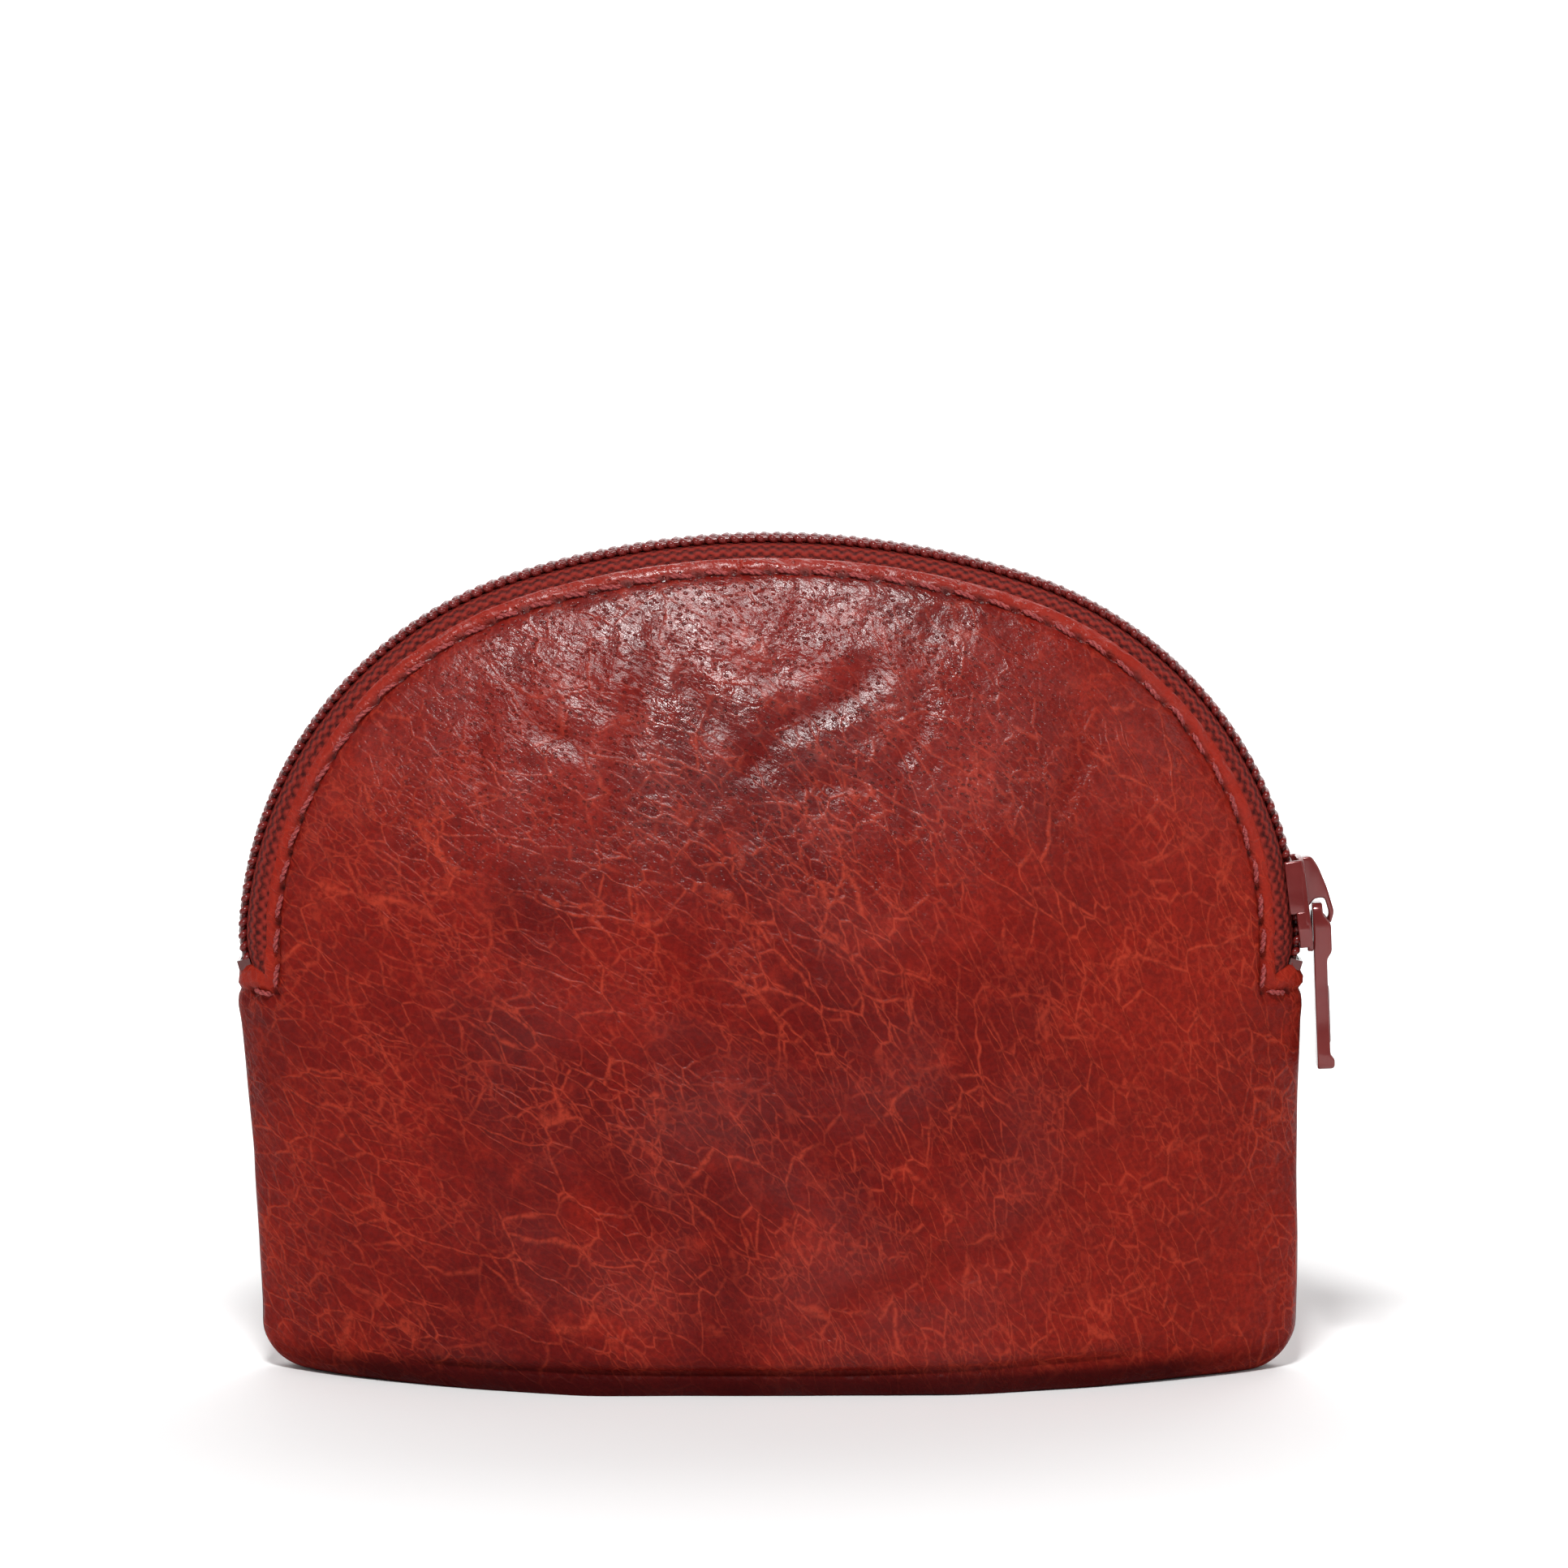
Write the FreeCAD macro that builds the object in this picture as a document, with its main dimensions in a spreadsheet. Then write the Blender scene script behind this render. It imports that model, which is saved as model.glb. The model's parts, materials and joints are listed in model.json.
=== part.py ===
import FreeCAD, Part
import math
import os
import Sketcher
from FreeCAD import Placement, Rotation, Vector

# Arched leather coin pouch with a coil zip.  Millimetres, +X to the viewer's right, -Y towards the
# viewer, +Z up, origin on the resting plane under the middle of the base.
#
# The front and back panels are two domes of leather that meet in a plane seam (y = 0) at the base and
# the sides.  Above the side rims the seam is open, and the zip chain follows a three-centred arch
# there.  The slider travels up the right-hand side arc of that arch, and behind it the two lips of the
# mouth tip outwards about a straight chord under the arc.

doc = FreeCAD.newDocument("zippered_pouch")

DRIVING_DIMENSIONS = {
    # zip arch, measured on the outside of the coil
    "arch_half_width": 54.7,
    "spring_height": 43.4,
    "side_radius": 41.1,
    "join_angle": 18,
    "tail_radius": 12,
    "tail_start": 46.5,
    "tail_end": 41.8,
    # leather shell
    "leather_half_width": 54.9,
    "leather_height": 86,
    "half_depth": 18,
    "leather_thickness": 1.3,
    "corner_radius": 5,
    "rim_height": 41.5,
    "mouth_half_gap": 4.2,
    "seam_gap": 0.1,
    "base_trim": 0.1,
    # lining
    "lining_clearance": 0.2,
    "lining_thickness": 0.5,
    "lining_rim_drop": 2.5,
    # zip chain, depths measured inwards from the outside of the coil
    "coil_width": 1.45,
    "coil_height": 1,
    "tape_thickness": 0.4,
    "tape_half_width": 4.1,
    "tape_web_depth": 9,
    "chain_gap": 0.1,
    "neck_slot_half_width": 0.75,
    # thread: how far it stands off the leather, how thick it is, and where it runs
    "thread_clearance": 0.05,
    "thread_thickness": 0.3,
    "thread_width": 0.5,
    "hem_stitch_depth": 6,
    "rim_stitch_drop": 2,
    # mouth lips: the chord that they tip about, and its clearance
    "lip_start_height": 43.6,
    "lip_end_angle": 66.5,
    "lip_gap": 0.3,
    # slider, in its own frame: X outwards from the coil, Z along the travel
    "slider_angle": 7.1,
    "slider_length": 9.9,
    "slider_nose_half_width": 3.6,
    "slider_tail_half_width": 2.8,
    "plate_thickness": 0.6,
    "channel_top": 0.15,
    "channel_bottom": 2.2,
    "flange_width": 0.6,
    "flange_drop": 0.65,
    "neck_half_width": 0.5,
    "neck_length": 2,
    "crown_width": 1.9,
    "spring_thickness": 0.25,
    "spring_width": 0.9,
    # pull tab, measured from its pivot
    "pivot_out": 1.65,
    "pivot_down": 0.6,
    "pivot_bar_radius": 0.5,
    "eye_radius": 0.7,
    "tab_length": 16.7,
    "tab_width": 4.4,
    "tab_window_width": 2.4,
    "tab_window_length": 2.6,
    "tab_tilt": 2.5,
    # end stops, clamped round the coil
    "stop_length": 1,
    "stop_wall": 0.35,
}

sheet = doc.addObject("Spreadsheet::Sheet", "Dims")
for row, (alias, number) in enumerate(DRIVING_DIMENSIONS.items(), start=1):
    sheet.set(f"A{row}", alias)
    sheet.set(f"B{row}", str(number))
    sheet.setAlias(f"B{row}", alias)
doc.recompute()

# Depth stations of a shell, as fractions of its half depth; its outline shrinks from one to the next.
STATIONS = [0, 0.233, 0.42, 0.6, 0.76, 0.89, 0.97]
WIDTH_POWER = 1.5
HEIGHT_POWER = 2
UPRIGHT = Rotation(Vector(1, 0, 0), 90)


def value(expression):
    """The number that an expression of sheet cells gives."""
    result = sheet.evalExpression(expression)
    return float(getattr(result, "Value", result))


def dim(alias):
    return value(f"Dims.{alias}")


def shrink(station, power):
    """Expression for how far an outline has shrunk at a depth station."""
    return f"pow(1 - pow({station}; {power}); 1 / {power})"


def add_arc(sketch, centre_x, centre_y, radius, start, end):
    """Counter-clockwise arc between two angles in degrees."""
    circle = Part.Circle(Vector(centre_x, centre_y, 0), Vector(0, 0, 1), radius)
    return sketch.addGeometry(Part.ArcOfCircle(circle, math.radians(start), math.radians(end)))


def add_line(sketch, start, end):
    return sketch.addGeometry(Part.LineSegment(Vector(*start, 0), Vector(*end, 0)))


def drive(sketch, constraint, expression):
    """Add a dimension to a sketch and bind it to the sheet."""
    index = sketch.addConstraint(constraint)
    sketch.setExpression(f"Constraints[{index}]", expression)


def arch_outline(name, half_width, height, depth, base):
    """Closed D-shaped outline standing upright at one depth: flat base, round corners, arched top."""
    scale = f"({half_width}) / Dims.arch_half_width"
    side_radius = f"Dims.side_radius * {scale}"
    top_radius = f"(({half_width}) - {side_radius}) / sin(Dims.join_angle * 1deg) + {side_radius}"
    rise = f"({top_radius}) - (({top_radius}) - {side_radius}) * cos(Dims.join_angle * 1deg)"
    spring = f"({height}) - ({rise})"
    w, r, top, z = value(half_width), value(side_radius), value(top_radius), value(spring)
    corner = dim("corner_radius")
    join = 90 - dim("join_angle")
    top_centre = z + (r - top) * math.sin(math.radians(join))

    sketch = doc.addObject("Sketcher::SketchObject", name)
    bottom = add_line(sketch, (corner - w, 0), (w - corner, 0))
    right_corner = add_arc(sketch, w - corner, corner, corner, -90, 0)
    right = add_line(sketch, (w, corner), (w, z))
    right_side = add_arc(sketch, w - r, z, r, 0, join)
    crown = add_arc(sketch, 0, top_centre, top, join, 180 - join)
    left_side = add_arc(sketch, r - w, z, r, 180 - join, 180)
    left = add_line(sketch, (-w, z), (-w, corner))
    left_corner = add_arc(sketch, corner - w, corner, corner, 180, 270)
    loop = [bottom, right_corner, right, right_side, crown, left_side, left, left_corner]
    for this, following in zip(loop, loop[1:] + loop[:1]):
        sketch.addConstraint(Sketcher.Constraint("Tangent", this, 2, following, 1))
    sketch.addConstraint(Sketcher.Constraint("Vertical", right))
    sketch.addConstraint(Sketcher.Constraint("Vertical", left))
    sketch.addConstraint(Sketcher.Constraint("Equal", right_corner, left_corner))
    sketch.addConstraint(Sketcher.Constraint("Equal", right_side, left_side))
    sketch.addConstraint(Sketcher.Constraint("PointOnObject", bottom, 1, -1))
    sketch.addConstraint(Sketcher.Constraint("Symmetric", bottom, 1, bottom, 2, -2))
    sketch.addConstraint(Sketcher.Constraint("PointOnObject", crown, 3, -2))
    drive(sketch, Sketcher.Constraint("DistanceX", -1, 1, right, 1, w), half_width)
    drive(sketch, Sketcher.Constraint("DistanceY", -1, 1, right, 2, z), spring)
    drive(sketch, Sketcher.Constraint("Radius", right_corner, corner), "Dims.corner_radius")
    drive(sketch, Sketcher.Constraint("Radius", right_side, r), side_radius)
    drive(sketch, Sketcher.Constraint("Radius", crown, top), top_radius)
    sketch.Placement = Placement(Vector(0, 0, 0), UPRIGHT)
    sketch.setExpression("Placement.Base.y", f"-({depth})")
    sketch.setExpression("Placement.Base.z", base)
    return sketch


def dome(name, inset, lowering="0"):
    """Front half of the pouch's form, made smaller all round by an inset.  The lowering drops its
    base and leaves its crown where it is."""
    outlines = []
    for number, station in enumerate(STATIONS):
        outlines.append(arch_outline(
            f"{name}_outline_{number}",
            f"(Dims.leather_half_width - {inset}) * {shrink(station, WIDTH_POWER)}",
            f"(Dims.leather_height - 2 * ({inset}) + {lowering}) * {shrink(station, HEIGHT_POWER)}",
            f"(Dims.half_depth - {inset}) * {station}",
            f"{inset} - {lowering}"))
    loft = doc.addObject("Part::Loft", name)
    loft.Sections = outlines
    loft.Solid = True
    return loft


def box(name, low, high):
    """Part::Box between two corners, each a triple of expressions."""
    block = doc.addObject("Part::Box", name)
    for axis, size, start, end in zip("xyz", ("Length", "Width", "Height"), low, high):
        block.setExpression(f"Placement.Base.{axis}", start)
        block.setExpression(size, f"({end}) - ({start})")
    return block


def cut(name, base, tool):
    result = doc.addObject("Part::Cut", name)
    result.Base = base
    result.Tool = tool
    return result


def common(name, base, tool):
    result = doc.addObject("Part::Common", name)
    result.Base = base
    result.Tool = tool
    return result


def fuse(name, *pieces):
    result = doc.addObject("Part::MultiFuse", name)
    result.Shapes = list(pieces)
    return result


def mirrored(name, source, normal):
    result = doc.addObject("Part::Mirroring", name)
    result.Source = source
    result.Normal = normal
    return result


# ---- zip arch ---------------------------------------------------------------------------------

side_centre_x = dim("arch_half_width") - dim("side_radius")
side_centre = Vector(side_centre_x, 0, dim("spring_height"))


def arch_path():
    """Right half of the zip's line, from the crown of the arch down into the side rim."""
    side, tail = dim("side_radius"), dim("tail_radius")
    join = 90 - dim("join_angle")
    spring = dim("spring_height")
    top_expression = ("(Dims.arch_half_width - Dims.side_radius) / sin(Dims.join_angle * 1deg)"
                      " + Dims.side_radius")
    top = value(top_expression)
    top_centre = spring + (side - top) * math.sin(math.radians(join))
    turn = math.degrees(math.asin((dim("tail_start") - spring) / side))
    tail_x = side_centre_x + (side - tail) * math.cos(math.radians(turn))
    tail_z = spring + (side - tail) * math.sin(math.radians(turn))
    tail_end = math.degrees(math.asin((dim("tail_end") - tail_z) / tail))

    sketch = doc.addObject("Sketcher::SketchObject", "zip_line")
    crown = add_arc(sketch, 0, top_centre, top, join, 90)
    flank = add_arc(sketch, side_centre_x, spring, side, turn, join)
    end = add_arc(sketch, tail_x, tail_z, tail, tail_end, turn)
    sketch.addConstraint(Sketcher.Constraint("Tangent", crown, 1, flank, 2))
    sketch.addConstraint(Sketcher.Constraint("Tangent", flank, 1, end, 2))
    sketch.addConstraint(Sketcher.Constraint("PointOnObject", crown, 3, -2))
    sketch.addConstraint(Sketcher.Constraint("PointOnObject", crown, 2, -2))
    drive(sketch, Sketcher.Constraint("Radius", crown, top), top_expression)
    drive(sketch, Sketcher.Constraint("Radius", flank, side), "Dims.side_radius")
    drive(sketch, Sketcher.Constraint("Radius", end, tail), "Dims.tail_radius")
    drive(sketch, Sketcher.Constraint("DistanceX", -1, 1, flank, 3, side_centre_x),
          "Dims.arch_half_width - Dims.side_radius")
    drive(sketch, Sketcher.Constraint("DistanceY", -1, 1, flank, 3, spring), "Dims.spring_height")
    drive(sketch, Sketcher.Constraint("DistanceY", -1, 1, flank, 1, dim("tail_start")),
          "Dims.tail_start")
    drive(sketch, Sketcher.Constraint("DistanceY", -1, 1, end, 1, dim("tail_end")), "Dims.tail_end")
    sketch.Placement = Placement(Vector(0, 0, 0), UPRIGHT)
    return sketch, top_centre + top


zip_line, arch_top = arch_path()


def chain_profile(name, corners):
    """Section of the front half of the chain at the crown: pairs of depth in y and height over the
    zip line, as expressions, in order round the section."""
    sketch = doc.addObject("Sketcher::SketchObject", name)
    points = [(-value(across), arch_top + value(up)) for across, up in corners]
    edges = [add_line(sketch, a, b) for a, b in zip(points, points[1:] + points[:1])]
    for this, following in zip(edges, edges[1:] + edges[:1]):
        sketch.addConstraint(Sketcher.Constraint("Coincident", this, 2, following, 1))
    crown_height = f"{arch_top}"
    for edge, (across, up), (y, z) in zip(edges, corners, points):
        drive(sketch, Sketcher.Constraint("DistanceX", -1, 1, edge, 1, y), f"-({across})")
        drive(sketch, Sketcher.Constraint("DistanceY", -1, 1, edge, 1, z), f"{crown_height} + ({up})")
    sketch.Placement = Placement(Vector(0, 0, 0), Rotation(Vector(1, 1, 1), 120))
    return sketch


def chain_strip(name, corners):
    """Strip of one section that follows the whole zip line, on the front side of the chain."""
    profile = chain_profile(f"{name}_section", corners)
    half = doc.addObject("Part::Sweep", f"{name}_right")
    half.Sections = [profile]
    half.Spine = (zip_line, ["Edge1", "Edge2", "Edge3"])
    half.Solid = True
    other = mirrored(f"{name}_left", half, Vector(1, 0, 0))
    return fuse(f"{name}_strip", half, other)


# ---- mouth lip region -------------------------------------------------------------------------

def lip_chord():
    """Ends of the chord that the lips tip about, in the plane of the zip, at mid height of the coil."""
    depth = dim("coil_height")
    height = dim("lip_start_height")
    radius = dim("side_radius") - depth
    low_x = side_centre_x + math.sqrt(radius ** 2 - (height - dim("spring_height")) ** 2)
    angle = math.radians(dim("lip_end_angle"))
    high = side_centre + Vector(math.cos(angle), 0, math.sin(angle)) * radius
    return Vector(low_x, 0, height), high


chord_low, chord_high = lip_chord()
chord_direction = (chord_high - chord_low).normalize()
LIP_REACH = 20
LIP_DEPTH = 40


def lip_region(name, gap, start, end):
    """Block that holds one lip: everything outside the chord, between two depths."""
    block = doc.addObject("Part::Box", name)
    block.Length = (chord_high - chord_low).Length + 2 * (LIP_REACH + gap)
    block.Width = end - start
    block.Height = LIP_REACH + gap
    # The block's X runs along the chord from its upper end, its Z points outwards.
    turn = math.degrees(math.atan2(chord_direction.z, -chord_direction.x))
    rotation = Rotation(Vector(0, 1, 0), turn)
    along = rotation.multVec(Vector(1, 0, 0))
    outward = rotation.multVec(Vector(0, 0, 1))
    corner = chord_high - along * (LIP_REACH + gap) - outward * gap
    block.Placement = Placement(Vector(corner.x, start, corner.z), rotation)
    return block


front_lip_region = lip_region("front_lip_region", 0, -LIP_DEPTH, 0)
front_lip_clearance = lip_region("front_lip_clearance", dim("lip_gap"), -LIP_DEPTH, 0)

nodes = []


def node(shape_object, label):
    """Mark an object as a finished piece; its label names its file."""
    shape_object.Label = label
    nodes.append(shape_object)
    return shape_object


def node_with_mirror(shape_object, front_label, back_label):
    """A piece of the front half and its twin on the back."""
    node(shape_object, front_label)
    node(mirrored(f"{shape_object.Name}_twin", shape_object, Vector(0, 1, 0)), back_label)


def split_at_lip(strip, front_label, back_label, front_lip_label, back_lip_label):
    """Divide a front piece into the part that stays and the part that tips with the lip."""
    fixed = cut(f"{front_label}_fixed", strip, front_lip_clearance)
    moving = common(f"{front_lip_label}_moving", strip, front_lip_region)
    node_with_mirror(fixed, front_label, back_label)
    node_with_mirror(moving, front_lip_label, back_lip_label)


# ---- leather and lining -----------------------------------------------------------------------

WIDE = 70
inner_leather = "Dims.leather_thickness"
outer_lining = "(Dims.leather_thickness + Dims.lining_clearance)"
inner_lining = "(Dims.leather_thickness + Dims.lining_clearance + Dims.lining_thickness)"

mouth = box("mouth_opening", (f"-{WIDE}", "-Dims.mouth_half_gap", "Dims.rim_height"),
            (f"{WIDE}", "Dims.mouth_half_gap", "100"))
lining_mouth = box("lining_mouth_opening",
                   (f"-{WIDE}", "-Dims.mouth_half_gap", "Dims.rim_height - Dims.lining_rim_drop"),
                   (f"{WIDE}", "Dims.mouth_half_gap", "100"))
seam = box("seam_plane", (f"-{WIDE}", "-Dims.seam_gap / 2", "-1"), (f"{WIDE}", "10", "100"))

# the leather is lofted a little low and trimmed level, so that it rests on a true plane
underside = box("underside", (f"-{WIDE}", "-Dims.half_depth", "-1"), (f"{WIDE}", "Dims.half_depth", "0"))
leather_form = cut("leather_form", dome("leather_outside", "0", "Dims.base_trim"), underside)
leather_shell = cut("leather_shell", leather_form, dome("leather_inside", inner_leather))
leather_open = cut("leather_open", leather_shell, mouth)
front_leather = cut("front_leather", leather_open, seam)
split_at_lip(front_leather, "front_panel", "back_panel", "front_lip", "back_lip")

lining_shell = cut("lining_shell", dome("lining_outside", outer_lining), dome("lining_inside", inner_lining))
lining_open = cut("lining_open", lining_shell, lining_mouth)
lining_half = cut("lining_half", lining_open, seam)
node_with_mirror(cut("lining_clear", lining_half, front_lip_clearance), "front_lining", "back_lining")

# ---- zip chain --------------------------------------------------------------------------------

half_gap = "Dims.chain_gap / 2"
tape_face = "-Dims.coil_height"
tape_back = "-(Dims.coil_height + Dims.tape_thickness)"

# The neck of the slider stands between the two halves of the chain, which part round it.
neck_slot = doc.addObject("Part::Box", "neck_slot")
neck_slot.setExpression("Length", "Dims.channel_bottom + 2")
neck_slot.setExpression("Width", "2 * Dims.neck_slot_half_width")
neck_slot.setExpression("Height", "Dims.neck_length + 1")
slider_angle = math.radians(dim("slider_angle"))
slider_out = Vector(math.cos(slider_angle), 0, math.sin(slider_angle))
slider_up = Vector(-math.sin(slider_angle), 0, math.cos(slider_angle))
slider_centre = side_centre + slider_out * dim("side_radius")
slider_turn = Rotation(Vector(0, 1, 0), -dim("slider_angle"))
slider_place = Placement(slider_centre, slider_turn)
slot_corner = (slider_centre - slider_out * (dim("channel_bottom") + 1)
               - slider_up * (dim("slider_length") / 2 + 0.6))
neck_slot.Placement = Placement(slot_corner - Vector(0, dim("neck_slot_half_width"), 0), slider_turn)

coil = chain_strip("coil", [(half_gap, "0"), ("Dims.coil_width", "0"),
                            ("Dims.coil_width", tape_face + " + 0.02"), (half_gap, tape_face + " + 0.02")])
split_at_lip(cut("coil_round_neck", coil, neck_slot),
             "front_coil", "back_coil", "front_lip_coil", "back_lip_coil")

tape = chain_strip("tape", [(half_gap, tape_face), ("Dims.tape_half_width", tape_face),
                            ("Dims.tape_half_width", "-Dims.tape_web_depth"),
                            ("Dims.tape_half_width - Dims.tape_thickness", "-Dims.tape_web_depth"),
                            ("Dims.tape_half_width - Dims.tape_thickness", tape_back),
                            (half_gap, tape_back)])
split_at_lip(cut("tape_round_neck", tape, neck_slot),
             "front_tape", "back_tape", "front_lip_tape", "back_lip_tape")

# ---- stitching --------------------------------------------------------------------------------

thread_outer = "-(Dims.thread_clearance + Dims.thread_thickness)"
thread_skin = cut("thread_skin", dome("thread_outside", thread_outer),
                  dome("thread_inside", "-Dims.thread_clearance"))
rim_stitch_low = "Dims.rim_height - Dims.rim_stitch_drop - Dims.thread_width"
hem_row = box("hem_stitch_row", (f"-{WIDE}", "-Dims.hem_stitch_depth - Dims.thread_width", rim_stitch_low),
              (f"{WIDE}", "-Dims.hem_stitch_depth", "100"))
rim_row = box("rim_stitch_row", (f"-{WIDE}", "-Dims.hem_stitch_depth", rim_stitch_low),
              (f"{WIDE}", "-Dims.seam_gap / 2", "Dims.rim_height - Dims.rim_stitch_drop"))
split_at_lip(common("thread", thread_skin, fuse("stitch_rows", hem_row, rim_row)),
             "front_stitching", "back_stitching", "front_lip_stitching", "back_lip_stitching")

# ---- pieces made in a frame of their own ------------------------------------------------------


def plane_of(body, role):
    for feature in body.Origin.OriginFeatures:
        if feature.Role == role:
            return feature
    raise RuntimeError(f"{body.Name} has no {role}")


def polygon_sketch(body, name, role, offset, points):
    """Closed polygon on one of a body's own planes; every corner is a pair of expressions."""
    sketch = body.newObject("Sketcher::SketchObject", name)
    sketch.AttachmentSupport = (plane_of(body, role), [""])
    sketch.MapMode = "FlatFace"
    sketch.setExpression("AttachmentOffset.Base.z", offset)
    corners = [(value(x), value(y)) for x, y in points]
    edges = [add_line(sketch, a, b) for a, b in zip(corners, corners[1:] + corners[:1])]
    for this, following in zip(edges, edges[1:] + edges[:1]):
        sketch.addConstraint(Sketcher.Constraint("Coincident", this, 2, following, 1))
    for edge, (x_text, y_text), (x, y) in zip(edges, points, corners):
        drive(sketch, Sketcher.Constraint("DistanceX", -1, 1, edge, 1, x), x_text)
        drive(sketch, Sketcher.Constraint("DistanceY", -1, 1, edge, 1, y), y_text)
    return sketch


def pad(body, name, role, start, length, points):
    """Pad a polygon from a distance along its plane's normal."""
    feature = body.newObject("PartDesign::Pad", name)
    feature.Profile = polygon_sketch(body, f"{name}_sketch", role, start, points)
    feature.setExpression("Length", length)
    return feature


def pocket(body, name, role, start, length, points):
    """Cut a polygon out of a body; the cut runs against the plane's normal from its start."""
    feature = body.newObject("PartDesign::Pocket", name)
    feature.Profile = polygon_sketch(body, f"{name}_sketch", role, start, points)
    feature.setExpression("Length", length)
    return feature


def rectangle(x_low, x_high, y_low, y_high):
    return [(x_low, y_low), (x_high, y_low), (x_high, y_high), (x_low, y_high)]


def outline_points(pairs):
    """Corners given as plain numbers, turned into expressions."""
    return [(str(x), str(y)) for x, y in pairs]


# ---- slider -----------------------------------------------------------------------------------

nose = "Dims.slider_nose_half_width"
narrow = "Dims.slider_tail_half_width"
half_length = "Dims.slider_length / 2"
plate_top = "Dims.channel_top + Dims.plate_thickness"


def slider_body():
    """Casting of two plates joined by the neck, with flanges that hold the coils in."""
    body = doc.addObject("PartDesign::Body", "slider_casting")
    plate = [(f"-0.7 * {nose}", f"-{half_length}"), (f"0.7 * {nose}", f"-{half_length}"),
             (nose, f"-{half_length} + 1.2"), (narrow, f"{half_length} - 0.8"),
             (f"0.7 * {narrow}", half_length), (f"-0.7 * {narrow}", half_length),
             (f"-{narrow}", f"{half_length} - 0.8"), (f"-{nose}", f"-{half_length} + 1.2")]
    pad(body, "outer_plate", "YZ_Plane", "Dims.channel_top", "Dims.plate_thickness", plate)
    neck = rectangle("-Dims.neck_half_width", "Dims.neck_half_width",
                     f"-{half_length} + 0.2", f"-{half_length} + 0.2 + Dims.neck_length")
    pad(body, "neck", "YZ_Plane", "-Dims.channel_bottom", "Dims.channel_top + Dims.channel_bottom", neck)
    pad(body, "inner_plate", "YZ_Plane", "-(Dims.channel_bottom + Dims.plate_thickness)",
        "Dims.plate_thickness", plate)
    for side, sign in (("front", "-"), ("back", "")):
        flange = [(f"{sign}{nose}", f"-{half_length} + 1.2"),
                  (f"{sign}{narrow}", f"{half_length} - 0.8"),
                  (f"{sign}({narrow} - Dims.flange_width)", f"{half_length} - 0.8"),
                  (f"{sign}({nose} - Dims.flange_width)", f"-{half_length} + 1.2")]
        pad(body, f"{side}_flange", "YZ_Plane", "Dims.channel_top - Dims.flange_drop",
            "Dims.flange_drop", flange)
    pocket(body, "prong_hole", "YZ_Plane", plate_top, "Dims.plate_thickness",
           rectangle("-0.35", "0.35", "1.1", "1.8"))
    body.Placement = slider_place
    return body


def slider_crown():
    """Bridge over the outer plate that traps the bar of the pull tab and covers the lock spring."""
    body = doc.addObject("PartDesign::Body", "crown_bridge")
    bridge = [(plate_top, "4.6"), ("1.75", "4.6"), ("2.95", "1"), ("3.35", "-1.3"), ("2.9", "-2.3"),
              (plate_top, "-2.3"), (plate_top, "-1.65"), ("2.2", "-1.65"), ("2.65", "-1.1"),
              ("2", "0.75"), (plate_top, "0.35")]
    pad(body, "bridge", "XZ_Plane", "-Dims.crown_width / 2", "Dims.crown_width", bridge)
    pocket(body, "spring_pocket", "XZ_Plane", "Dims.spring_width / 2 + 0.1", "Dims.spring_width + 0.2",
           rectangle("0", f"{plate_top} + Dims.spring_thickness + 0.25", "1", "4.2"))
    body.Placement = slider_place
    return body


def lock_spring():
    """Leaf spring in the crown, with the prong that drops between the coils."""
    body = doc.addObject("PartDesign::Body", "lock_leaf")
    leaf_low = f"{plate_top} + 0.1"
    leaf_high = f"{plate_top} + 0.1 + Dims.spring_thickness"
    leaf = [(leaf_low, "1.55"), (leaf_low, "4.1"), (leaf_high, "4.1"), (leaf_high, "1.2"),
            ("Dims.channel_top + 0.1", "1.2"), ("Dims.channel_top + 0.1", "1.55")]
    pad(body, "leaf", "XZ_Plane", "-0.25", "0.5", leaf)
    body.Placement = slider_place
    return body


slider = slider_body()
node(slider, "slider_body")
crown = slider_crown()
node(crown, "slider_crown")
node(lock_spring(), "lock_spring")

# ---- pull tab ---------------------------------------------------------------------------------

tab_pivot = slider_centre + slider_out * dim("pivot_out") - slider_up * dim("pivot_down")
HEAD_LENGTH = 4.2


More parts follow.
